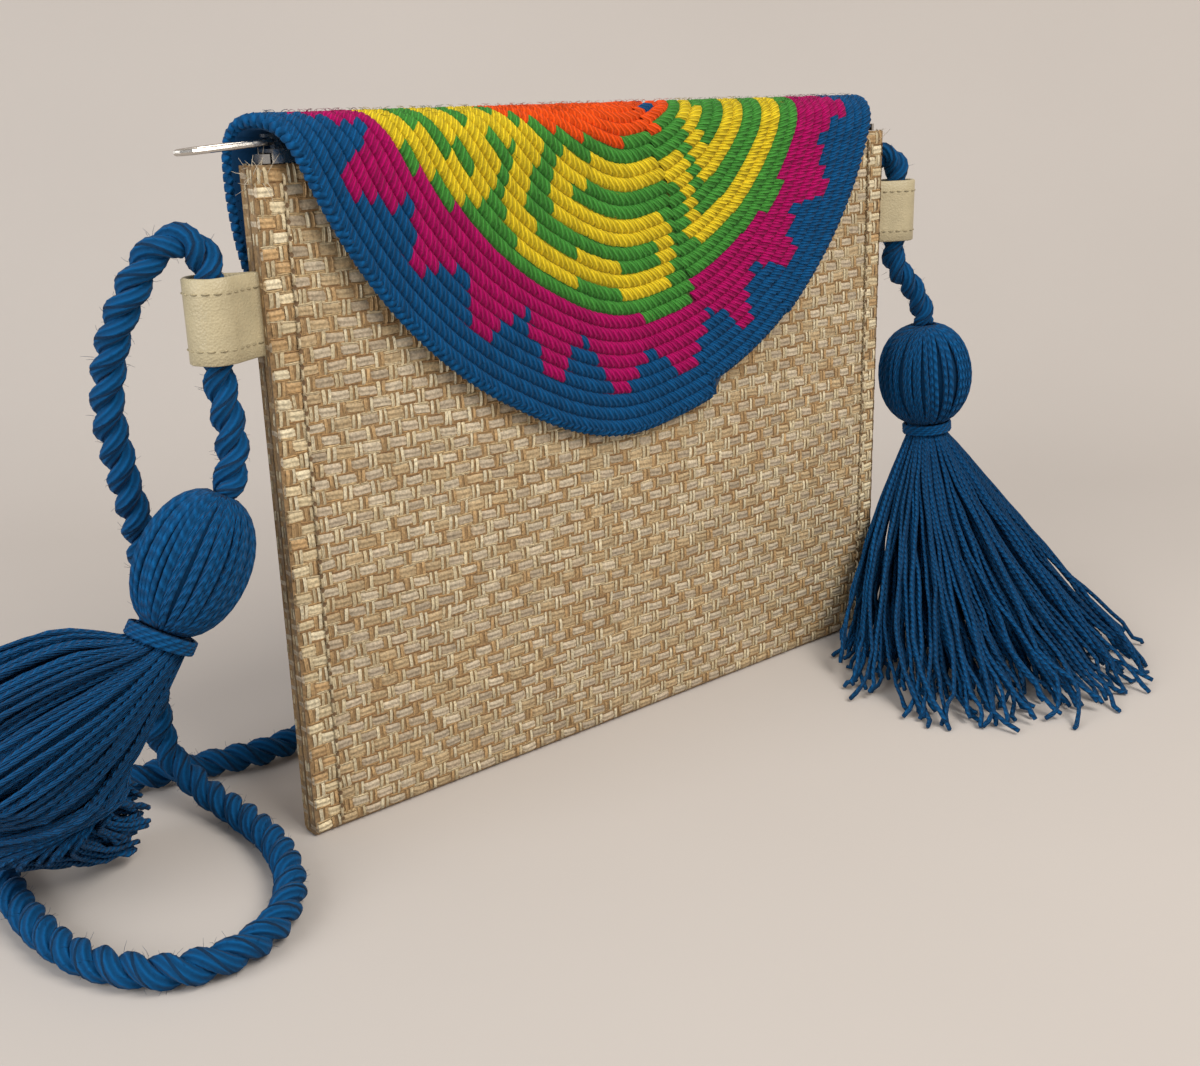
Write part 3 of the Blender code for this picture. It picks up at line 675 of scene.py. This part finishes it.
def make_frays(material):
    """Loose straw fibres at the two top corners."""
    shape = Builder()
    for corner, count, inwards in (((-0.1235, -0.003, 0.1893), 26, 1), ((0.1238, -0.003, 0.1893), 16, -1)):
        for _ in range(count):
            start = Vector(corner) + random_vector((-0.0015, 0.003), (-0.001, 0.005), (-0.004, 0.0003))
            lean = random_vector((-0.9, 0.5), (-0.4, 0.3), (-0.5, 1.0))
            lean.x *= inwards
            lean.normalize()
            size = random.uniform(0.002, 0.0075)
            curl = random_vector((-1, 1), (-1, 1), (-1, 1)) * 0.35
            path = [start + lean * (size * t) + curl * (size * t * t) for t in (0.0, 0.35, 0.7, 1.0)]
            shape.tube(path, [0.00012, 0.0001, 0.00008, 0.00004], 4, shaded(FRAY, 0.1))
    shape.make("straw_frays", material)


# Crochet flap
def flap_section():
    """Half of the fold's section, a superellipse, and the run up to each of its points."""
    half = BODY_T / 2 + BULGE + CLEAR + FLAP_T
    points = []
    for i in range(49):
        a = math.pi / 2 * i / 48
        out = half * math.sin(a) ** (2 / FOLD_POWER)
        points.append((out, BODY_H + FOLD_RISE * math.cos(a) ** (2 / FOLD_POWER)))
    lengths = [0.0]
    for (y0, z0), (y1, z1) in zip(points, points[1:]):
        lengths.append(lengths[-1] + math.hypot(y1 - y0, z1 - z0))
    return points, lengths


SECTION = flap_section()


def flap_point(u, v, depth):
    """Place of flat point (u, v) in space, depth below the outer surface."""
    points, lengths = SECTION
    side = -1.0 if v >= 0.0 else 1.0
    run = abs(v)
    if run >= lengths[-1]:
        return (u, side * (points[-1][0] - depth), BODY_H - (run - lengths[-1]))
    k = max(bisect_right(lengths, run) - 1, 0)
    share = (run - lengths[k]) / (lengths[k + 1] - lengths[k])
    (y0, z0), (y1, z1) = points[k], points[k + 1]
    ny, nz = z0 - z1, y1 - y0
    size = math.hypot(ny, nz)
    y = y0 + (y1 - y0) * share - ny / size * depth
    z = z0 + (z1 - z0) * share - nz / size * depth
    return (u, side * y, z)


def flap_edge_radius(angle):
    """Distance from the disc's centre to its edge, with the step where its last round ends."""
    count = len(FLAP_EDGE_RADII)
    place = (angle / TAU) % 1.0 * count
    k = int(place)
    t = place - k
    a, b, c, d = (FLAP_EDGE_RADII[(k + i) % count] for i in (-1, 0, 1, 2))
    radius = spline(a, b, c, d, t)
    degrees = math.degrees(angle) % 360.0
    if FLAP_STEP_FROM < degrees < FLAP_STEP_AT:
        radius = min(radius, 0.1185)
    if FLAP_STEP_AT <= degrees < FLAP_STEP_TO:
        radius = max(radius, 0.1235)
    return radius


def stepped(table, degrees):
    """Value between the table's angles, straight from one to the next."""
    if degrees <= table[0][0]:
        return table[0][1]
    for (a0, r0), (a1, r1) in zip(table, table[1:]):
        if degrees <= a1:
            return r0 + (r1 - r0) * (degrees - a0) / (a1 - a0)
    return table[-1][1]


# The pattern in polar places on the flat disc: angle in degrees, radius in millimetres
ORANGE_EDGE = ((0, 34), (57, 33), (88, 35), (109, 36), (124, 38), (134, 41), (143, 43), (151, 48),
               (180, 52))
GREEN_EDGE = ((0, 84), (28, 84), (40, 86), (51, 84), (71, 84), (72, 89), (85, 89), (95, 87), (112, 82),
              (124, 80), (135, 80), (145, 81), (153, 85), (164, 88), (180, 88))
PEGS = ((0, 107), (14, 107), (31, 108), (46, 108), (61, 109), (77, 113), (92, 111), (107, 106), (124, 103),
        (140, 103), (156, 105), (172, 107), (188, 107))
# Lines of yellow on the green: half width in millimetres, then their polar places
YELLOW_LINES = (
    (4.0, ((180, 53), (156, 56), (150, 54), (141, 50), (136, 50), (135, 54), (133, 58), (131, 63), (128, 69),
           (120, 72), (111, 73), (100, 74), (90, 77), (79, 78), (77, 73), (77, 65))),
    (4.0, ((78, 63), (85, 62), (97, 60), (108, 59), (116, 58), (118, 53), (120, 47), (109, 45), (92, 46),
           (74, 47), (63, 48))),
    (2.4, ((63, 47), (63, 57), (65, 66), (66, 70))),
    (4.0, ((64, 70), (55, 72), (44, 73), (34, 73), (24, 73), (0, 72))),
    (3.8, ((180, 84), (162, 83), (157, 80), (150, 77), (144, 74), (140, 72))),
    (3.8, ((141, 71), (142, 66), (144, 62), (150, 63), (155, 66), (160, 69), (180, 72))),
    (3.4, ((0, 36), (34, 38), (47, 41), (51, 49), (52, 57))),
    (3.8, ((52, 57), (44, 55), (34, 54), (23, 56), (0, 57))),
)


def distance_to_line(angle, radius, line):
    """Flat distance in millimetres from a polar place to a line between polar places."""
    best = 1e9
    for (a0, r0), (a1, r1) in zip(line, line[1:]):
        if min(a0, a1) - 12 > angle or max(a0, a1) + 12 < angle:
            continue
        ax, ay = a0 * radius * math.pi / 180, r0
        bx, by = a1 * radius * math.pi / 180, r1
        px, py = angle * radius * math.pi / 180, radius
        dx, dy = bx - ax, by - ay
        t = min(max(((px - ax) * dx + (py - ay) * dy) / max(dx * dx + dy * dy, 1e-9), 0.0), 1.0)
        best = min(best, math.hypot(px - ax - dx * t, py - ay - dy * t))
    return best


def flap_colour(u, v):
    """Yarn colour at a flat point; the back half mirrors the front one."""
    x = (u - FLAP_POLE_U) * 1000.0
    y = (v - FLAP_POLE_V) * 1000.0
    radius = math.hypot(x, y)
    angle = abs(math.degrees(math.atan2(y, x)))
    if math.hypot(x - 12.5, y - 21.5) < 3.2:
        return BLUE
    if radius < stepped(ORANGE_EDGE, angle):
        return ORANGE
    if radius < stepped(GREEN_EDGE, angle):
        if any(distance_to_line(angle, radius, line) < half for half, line in YELLOW_LINES):
            return YELLOW
        return GREEN
    for (a0, r0), (a1, r1) in zip(PEGS, PEGS[1:]):
        if a0 <= angle <= a1:
            phase = (angle - a0) / (a1 - a0)
            tip = r0 if phase < 0.5 else r1
            phase = min(phase, 1.0 - phase)
            if phase < 0.14:
                return MAGENTA if radius < tip else BLUE
            if phase < 0.22:
                return MAGENTA if radius < tip - 4.5 else BLUE
            if phase < 0.41:
                return MAGENTA if radius < tip - 8.5 else BLUE
            return MAGENTA if radius < tip - 13.5 else BLUE
    return BLUE


def make_flap_sheet(material):
    """Backing of the crochet: both faces of the folded disc, closed round its edge; its colours are darkened
    to 0.45 as painted shade between the stitches and on the underside.
    """
    shape = Builder()
    sectors = 120

    def ring(share, depth, plain=None):
        row = []
        for i in range(sectors):
            angle = TAU * i / sectors
            radius = share * (flap_edge_radius(angle) - 0.0006)
            u = FLAP_POLE_U + radius * math.cos(angle)
            v = FLAP_POLE_V + radius * math.sin(angle)
            colour = plain or flap_colour(u, v)
            # Painted shade: the backing takes 0.45 of the yarn colour, dark between the stitches and on the
            # flap's underside
            row.append(shape.point(flap_point(u, v, depth), tuple(c * 0.45 for c in colour)))
        return row

    outer = [ring((i + 0.05) / FLAP_ROUNDS, 0.0013) for i in range(1, FLAP_ROUNDS + 1)]
    under = [ring(i / 12, FLAP_T - 0.0002, BLUE) for i in range(12, 0, -1)]
    shape.grid(outer + under, closed=True)
    shape.faces.append(tuple(reversed(outer[0])))
    shape.faces.append(tuple(under[-1]))
    sheet = shape.make("flap_sheet", material)
    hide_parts("crochet_flap")
    return sheet


def make_flap_stitches(material):
    """Every stitch as a slanted pair of plies, in rounds from the centre to the edge."""
    shape = Builder()
    across = (-1.0, -0.45, 0.45, 1.0)
    along = (-1.0, -0.5, 0.5, 1.0)
    for k in range(FLAP_ROUNDS):
        share = (k + 0.5) / FLAP_ROUNDS
        count = max(6, round(TAU * 0.119 * share / STITCH))
        offset = 0.37 * k
        for j in range(count):
            angle = TAU * (j + offset) / count
            edge = flap_edge_radius(angle)
            radius = share * edge
            half = edge / FLAP_ROUNDS / 2
            u = FLAP_POLE_U + radius * math.cos(angle)
            v = FLAP_POLE_V + radius * math.sin(angle)
            tint = shaded(flap_colour(u, v), 0.13)
            lift = random.uniform(-0.00012, 0.00012)
            slant = STITCH_SLANT * random.uniform(0.8, 1.2)
            rows = []
            for b in along:
                row = []
                for a in across:
                    side_run = a * STITCH * 0.62 + slant * b
                    r = radius + half * 1.12 * b
                    turn = angle + side_run / max(radius, 0.002)
                    pu = FLAP_POLE_U + r * math.cos(turn)
                    pv = FLAP_POLE_V + r * math.sin(turn)
                    depth = 0.0002 + 0.0013 * b ** 4 + 0.0004 * abs(a) ** 3 + lift
                    row.append(shape.point(flap_point(pu, pv, depth), tint, (a * 0.9, b * 0.35)))
                rows.append(row)
            shape.grid(rows)
    return shape.make("flap_stitches", material)


def make_flap_rim(material):
    """Border yarn: slanted stitches that wrap the flap's edge."""
    shape = Builder()
    count = 300
    for j in range(count):
        angle = TAU * j / count
        tint = shaded(BLUE, 0.12)
        path = []
        for t in (0.0, 0.25, 0.5, 0.75, 1.0):
            turn = angle + (t - 0.5) * 0.016
            radius = flap_edge_radius(turn) + 0.0001 - 0.0016 * (2 * t - 1) ** 2
            depth = 0.0007 + (FLAP_T - 0.0014) * t
            u = FLAP_POLE_U + radius * math.cos(turn)
            v = FLAP_POLE_V + radius * math.sin(turn)
            path.append(Vector(flap_point(u, v, depth)))
        shape.tube(path, [0.0007, 0.0012, 0.0014, 0.0012, 0.0007], 6, tint, ply_length=0.002)
    return shape.make("flap_rim", material)


def make_flap_fuzz(material):
    """Short loose fibres that stand off the crochet, seen along its outline."""
    shape = Builder()
    for _ in range(1100):
        angle = random.uniform(0.0, TAU)
        share = random.uniform(0.05, 1.0) ** 0.5
        radius = share * flap_edge_radius(angle)
        u = FLAP_POLE_U + radius * math.cos(angle)
        v = FLAP_POLE_V + radius * math.sin(angle)
        if random.random() < 0.4:
            v = random.uniform(-0.006, 0.008)
            u = random.uniform(-0.118, 0.105)
        colour = flap_colour(u, v)
        bend = random.uniform(-0.0015, 0.0015)
        path = []
        for t in (0.0, 0.4, 0.75, 1.0):
            depth = 0.0004 - 0.0010 * t * (1.2 - 0.5 * t)
            path.append(Vector(flap_point(u + bend * t * t, v + bend * t, depth)))
        shape.tube(path, [0.00007, 0.00006, 0.00005, 0.00003], 3, colour)
    return shape.make("flap_fuzz", material)


# Leather loops
def loop_line(side):
    """Middle line of the leather strip: from the hem round the cord and back."""
    bend = CORD_D / 2 + LOOP_SLACK + LOOP_LEATHER / 2
    leg = LOOP_LEATHER / 2 + 0.00008
    tail = BODY_W / 2 - LOOP_TAIL
    mouth = BODY_W / 2 + CLEAR
    points = [(tail, -leg), (mouth, -leg), (mouth + 0.0022, -leg * 1.5)]
    sweep = math.radians(130.0)
    for i in range(15):
        a = -sweep + 2 * sweep * i / 14
        points.append((LOOP_ROPE_X + bend * math.cos(a), bend * math.sin(a)))
    points += [(mouth + 0.0022, leg * 1.5), (mouth, leg), (tail, leg)]
    return curve_through([Vector((side * x, y, 0.0)) for x, y in points], 0.0007)


def make_loop(name, node_name, side, z, leather, thread):
    """Leather strip round the cord, with a row of stitches near each edge."""
    line = loop_line(side)
    normals = []
    for i in range(len(line)):
        ahead = (line[min(i + 1, len(line) - 1)] - line[max(i - 1, 0)]).normalized()
        normals.append(Vector((ahead.y, -ahead.x, 0.0)))
    shape = Builder()
    half = LOOP_LEATHER / 2
    outline = []
    for t in (-1.0, -0.97, -0.6, 0.0, 0.6, 0.97, 1.0):
        outline.append((t, 1.0 if abs(t) < 0.98 else 0.55))
    rows = []
    for place, normal in zip(line, normals):
        ripple = 0.00015 * noise.noise(place * 220.0)
        row = []
        for t, thick in outline:
            rise = Vector((0, 0, z + t * LOOP_H / 2 + ripple))
            row.append(shape.point(place + normal * (half * thick) + rise, LEATHER))
        for t, thick in reversed(outline):
            rise = Vector((0, 0, z + t * LOOP_H / 2 + ripple))
            row.append(shape.point(place - normal * (half * thick) + rise, LEATHER))
        rows.append(row)
    shape.grid(rows, closed=True)
    shape.faces.append(tuple(reversed(rows[0])))
    shape.faces.append(tuple(rows[-1]))
    loop = shape.make(name, leather)
    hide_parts(node_name)
    middle = Vector((side * LOOP_ROPE_X, 0.0, 0.0))
    stitches = Builder()
    for level in (-LOOP_H / 2 + 0.0038, LOOP_H / 2 - 0.0038):
        i = 9
        while i < len(line) - 12:
            out = 1.0 if normals[i].dot(line[i] - middle) > 0.0 else -1.0
            path = []
            for k, sink in ((0, 0.0004), (1, 0.0), (2, 0.0), (3, 0.0004)):
                place = line[i + k] + normals[i + k] * (out * (half + 0.00012 - sink))
                path.append(place + Vector((0, 0, z + level)))
            stitches.tube(path, 0.00027, 6, shaded(LEATHER_THREAD, 0.06), ply_length=0.0009)
            i += 4
    stitches.make(name + "_stitches", thread)


# Tassels
def frame_along(direction):
    """Two unit vectors square to a direction, the first as level as it can be."""
    z = Vector(direction).normalized()
    side = Vector((0.0, 0.0, 1.0)).cross(z)
    if side.length < 0.1:
        side = Vector((0.0, 1.0, 0.0)).cross(z)
    side.normalize()
    return side, z.cross(side)


def make_head(name, node_name, top, foot, half_w, material):
    """Bundle of yarns that run from the cord down over the head into its neck."""
    axis = (top - foot).normalized()
    centre = (top + foot) / 2
    half = (top - foot).length / 2
    side, other = frame_along(axis)
    shape = Builder()

    def polar(share):
        return math.pi * (HEAD_END + (1 - 2 * HEAD_END) * share)

    def surface(a, phi, out):
        radius = (half_w + out) * math.sin(a) ** HEAD_FULL
        along = -half * math.cos(a) / math.cos(math.pi * HEAD_END)
        spot = centre + axis * along
        return spot + side * (radius * math.cos(phi)) + other * (radius * math.sin(phi))

    rows = []
    shadow = tuple(c * 0.5 for c in BLUE)
    for i in range(13):
        a = polar(i / 12)
        rows.append([shape.point(surface(a, TAU * k / 24, -0.0016), shadow) for k in range(24)])
    shape.grid(rows, closed=True)
    shape.faces.append(tuple(reversed(rows[0])))
    shape.faces.append(tuple(rows[-1]))
    yarns = 66
    for j in range(yarns):
        phi = TAU * (j + random.uniform(-0.25, 0.25)) / yarns
        drift = random.uniform(-0.10, 0.10)
        out = random.uniform(-0.0012, -0.0004)
        path = []
        for i in range(15):
            t = i / 14
            sway = drift * math.sin(math.pi * t)
            sway += 0.05 * noise.noise(Vector((j * 3.1, t * 2.5, top.x * 50.0)))
            path.append(surface(polar(t), phi + sway, out))
        shape.tube(path, 0.00085, 6, shaded(BLUE, 0.14), ply_length=0.0034)
    head = shape.make(name, material)
    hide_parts(node_name)


def make_binding(name, node_name, top, foot, material):
    """Turns of yarn wound round the neck."""
    axis = (top - foot).normalized()
    centre = foot - axis * (CLEAR + NECK_L / 2)
    side, other = frame_along(axis)
    shape = Builder()
    turns = 4
    path = []
    for i in range(turns * 20 + 1):
        a = TAU * i / 20
        rise = (i / (turns * 20) - 0.5) * 0.0034
        out = side * math.cos(a) + other * math.sin(a)
        path.append(centre + out * (NECK_R + 0.0004) + axis * rise)
    shape.tube(path, 0.0007, 6, shaded(BLUE, 0.05), ply_length=0.003)
    binding = shape.make(name, material)
    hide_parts(node_name)


def through_rings(rings, t):
    """Ring between the rings at t from 0 to 1: centre, half widths and directions."""
    place = t * (len(rings) - 1)
    k = min(int(place), len(rings) - 2)
    s = place - k
    picks = (rings[max(k - 1, 0)], rings[k], rings[k + 1], rings[min(k + 2, len(rings) - 1)])
    return [spline(a, b, c, d, s) for a, b, c, d in zip(*picks)]


def make_skirt(name, node_name, rings, yarns, seed, material, shortest):
    """Loose twisted yarns, each with its own place in the bundle and its own length."""
    shape = Builder()
    steps = 26
    for j in range(yarns):
        phi = TAU * random.random()
        share = math.sqrt(random.uniform(0.02, 1.0))
        end = 1.0 - shortest * random.random() ** 1.5
        wave = random.uniform(0.6, 1.4)
        path = []
        for i in range(steps + 1):
            t = end * i / steps
            centre, wide, deep, side, other = through_rings(rings, t)
            loose = t ** 1.4
            drift_phi = 0.42 * loose * noise.noise(Vector((j * 7.3, t * 2.6 * wave, seed)))
            drift_out = 1.0 + 0.16 * loose * noise.noise(Vector((j * 5.1, t * 3.4 * wave, seed + 9.0)))
            keep = share * (1.0 - 0.10 * (1.0 - loose)) * drift_out
            keep = min(keep, 1.02)
            a = phi + drift_phi
            spot = centre + side * (wide * keep * math.cos(a)) + other * (deep * keep * math.sin(a))
            kink = 0.0022 * loose
            spot += Vector((
                kink * noise.noise(Vector((j, t * 14.0, 1.0))),
                kink * noise.noise(Vector((j, t * 14.0, 2.0))),
                kink * noise.noise(Vector((j, t * 14.0, 3.0))),
            ))
            floor = YARN_R * 1.4 + 0.0022 * (1.0 - share) * (0.5 + 0.5 * math.sin(j * 12.9))
            spot.z = max(spot.z, floor)
            path.append(spot)
        radii = [YARN_R * random.uniform(0.95, 1.1)] * (steps - 1) + [YARN_R * 1.25, YARN_R * 1.1]
        shape.tube(path, radii, 5, shaded(BLUE, 0.22), turns=2.0, ply_length=0.0026)
    skirt = shape.make(name, material)
    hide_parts(node_name)


def left_rings():
    """Rings of the left skirt, round and square to its bent middle line."""
    axis = (HEAD_LEFT_TOP - HEAD_LEFT_FOOT).normalized()
    stretch = [(HEAD_LEFT_FOOT - axis * run, NECK_R - YARN_R) for run in (CLEAR, CLEAR + NECK_L)]
    stretch += [(Vector(place), radius) for place, radius in SKIRT_LEFT]
    places = [place for place, _ in stretch]
    rings = []
    for i, (place, radius) in enumerate(stretch):
        ahead = places[min(i + 1, len(places) - 1)] - places[max(i - 1, 0)]
        if i < 2:
            ahead = HEAD_LEFT_FOOT - HEAD_LEFT_TOP
        side, other = frame_along(ahead)
        rings.append((place, radius, radius, side, other))
    return rings


def right_rings():
    """Rings of the right skirt, all level."""
    axis = (HEAD_RIGHT_TOP - HEAD_RIGHT_FOOT).normalized()
    x_axis = Vector((1.0, 0.0, 0.0))
    y_axis = Vector((0.0, 1.0, 0.0))
    inner = NECK_R - YARN_R
    rings = []
    for run in (2 * CLEAR, CLEAR + NECK_L):
        rings.append((HEAD_RIGHT_FOOT - axis * run, inner, inner, x_axis, y_axis))
    for place, wide, deep in SKIRT_RIGHT:
        rings.append((Vector(place), wide, deep, x_axis, y_axis))
    return rings


# Floor, backdrop and light
def make_stage():
    mat, tree, shader = new_material("stage", 0.95)
    place = node(tree, "ShaderNodeTexCoord").outputs["Object"]
    wash = node(tree, "ShaderNodeTexNoise", {"Vector": place, "Scale": 3.0, "Detail": 4.0})
    base = node(tree, "ShaderNodeRGB")
    base.outputs[0].default_value = (*FLOOR, 1.0)
    mixed = mixed_colour(tree, base.outputs[0], wash.outputs[0], 0.93, 1.05)
    tree.links.new(mixed, shader.inputs["Base Color"])
    verts = []
    faces = []
    profile = [(-1.6, 0.0), (0.25, 0.0)]
    for i in range(1, 13):
        a = math.pi / 2 * i / 12
        profile.append((0.25 + 0.35 * math.sin(a), 0.35 - 0.35 * math.cos(a)))
    profile.append((0.60, 2.2))
    away = Vector((0.55, 0.83, 0.0)).normalized()
    level = Vector((away.y, -away.x, 0.0))
    for run, z in profile:
        for end in (-2.6, 2.6):
            verts.append(tuple(away * run + level * end + Vector((0, 0, z))))
    for i in range(len(profile) - 1):
        faces.append((2 * i, 2 * i + 1, 2 * i + 3, 2 * i + 2))
    mesh = bpy.data.meshes.new("floor")
    mesh.from_pydata(verts, [], faces)
    mesh.polygons.foreach_set("use_smooth", [True] * len(mesh.polygons))
    mesh.materials.append(mat)
    floor = bpy.data.objects.new("floor", mesh)
    bpy.context.collection.objects.link(floor)


def add_light(name, place, target, size, power, colour):
    data = bpy.data.lights.new(name, "AREA")
    data.energy = power
    data.size = size
    data.color = colour
    light = bpy.data.objects.new(name, data)
    light.location = place
    light.rotation_mode = "QUATERNION"
    light.rotation_quaternion = (Vector(target) - Vector(place)).to_track_quat("-Z", "Y")
    bpy.context.collection.objects.link(light)


def make_lights():
    world = bpy.data.worlds.new("world")
    world.use_nodes = True
    world.node_tree.nodes["Background"].inputs[0].default_value = (0.95, 0.97, 1.0, 1.0)
    world.node_tree.nodes["Background"].inputs[1].default_value = 0.42
    bpy.context.scene.world = world
    add_light("key", (0.15, -0.95, 1.15), (0.0, 0.0, 0.08), 0.8, 17.0, (1.0, 0.96, 0.90))
    add_light("fill", (-1.2, -0.1, 0.6), (-0.08, 0.0, 0.1), 0.9, 11.0, (0.96, 0.98, 1.0))


def set_material(name, material):
    piece = bpy.data.objects[name]
    for slot in piece.material_slots:
        slot.material = material


def main():
    scene = bpy.context.scene
    scene.view_settings.view_transform = "Standard"
    add_camera()
    make_stage()
    make_lights()
    blue = yarn_material("blue_yarn", sheen=0.03)
    rope_yarn = yarn_material("rope_yarn", sheen=0.03, bump=0.00022)
    crochet = yarn_material("crochet", sheen=0.03, bump=0.0002)
    backing = yarn_material("crochet_backing", sheen=0.1, bump=0.0001)
    straw = straw_material()
    leather = leather_material()
    metal = metal_material()
    tape = cloth_material("zip_tape", TAPE, 2600.0)
    rope, path = make_cord(rope_yarn)
    make_head("left_head", "tassel_left_head", HEAD_LEFT_TOP, HEAD_LEFT_FOOT, HEAD_LEFT_HALF_W, blue)
    make_head("right_head", "tassel_right_head", HEAD_RIGHT_TOP, HEAD_RIGHT_FOOT, HEAD_RIGHT_HALF_W, blue)
    make_binding("left_binding", "tassel_left_binding", HEAD_LEFT_TOP, HEAD_LEFT_FOOT, blue)
    make_binding("right_binding", "tassel_right_binding", HEAD_RIGHT_TOP, HEAD_RIGHT_FOOT, blue)
    make_skirt("left_skirt", "tassel_left_skirt", left_rings(), 330, 4.0, blue, 0.22)
    make_skirt("right_skirt", "tassel_right_skirt", right_rings(), 380, 8.0, blue, 0.12)
    fuzz = make_rope_fuzz(path, blue)
    route = [tuple(p) for p in path[::3]] + [tuple(path[-1])]
    tuple(path[0])
    round(length_of(path), 3)
    body_sheet = make_body_sheet(straw)
    make_weave("weave_front", Leaf(-1), BODY_W - 0.001, straw)
    make_weave("weave_back", Leaf(1), BODY_W - 0.001, straw)
    make_weave("weave_left_end", End(-1), BODY_T - 0.0006, straw)
    make_weave("weave_right_end", End(1), BODY_T - 0.0006, straw)
    make_seams(straw)
    make_seam_hole_shade(straw)
    make_frays(straw)
    flap_sheet = make_flap_sheet(backing)
    flap_stitches = make_flap_stitches(crochet)
    flap_rim = make_flap_rim(crochet)
    flap_fuzz = make_flap_fuzz(crochet)
    make_loop("left_loop", "leather_loop_left", -1, LOOP_LEFT_Z, leather, straw)
    make_loop("right_loop", "leather_loop_right", 1, LOOP_RIGHT_Z, leather, straw)
    for name in ("zip_row_front", "zip_row_back"):
        set_material(name, tape)
    for name in ("zip_stop_left", "zip_stop_right", "zip_slider", "zip_pull"):
        set_material(name, metal)


main()
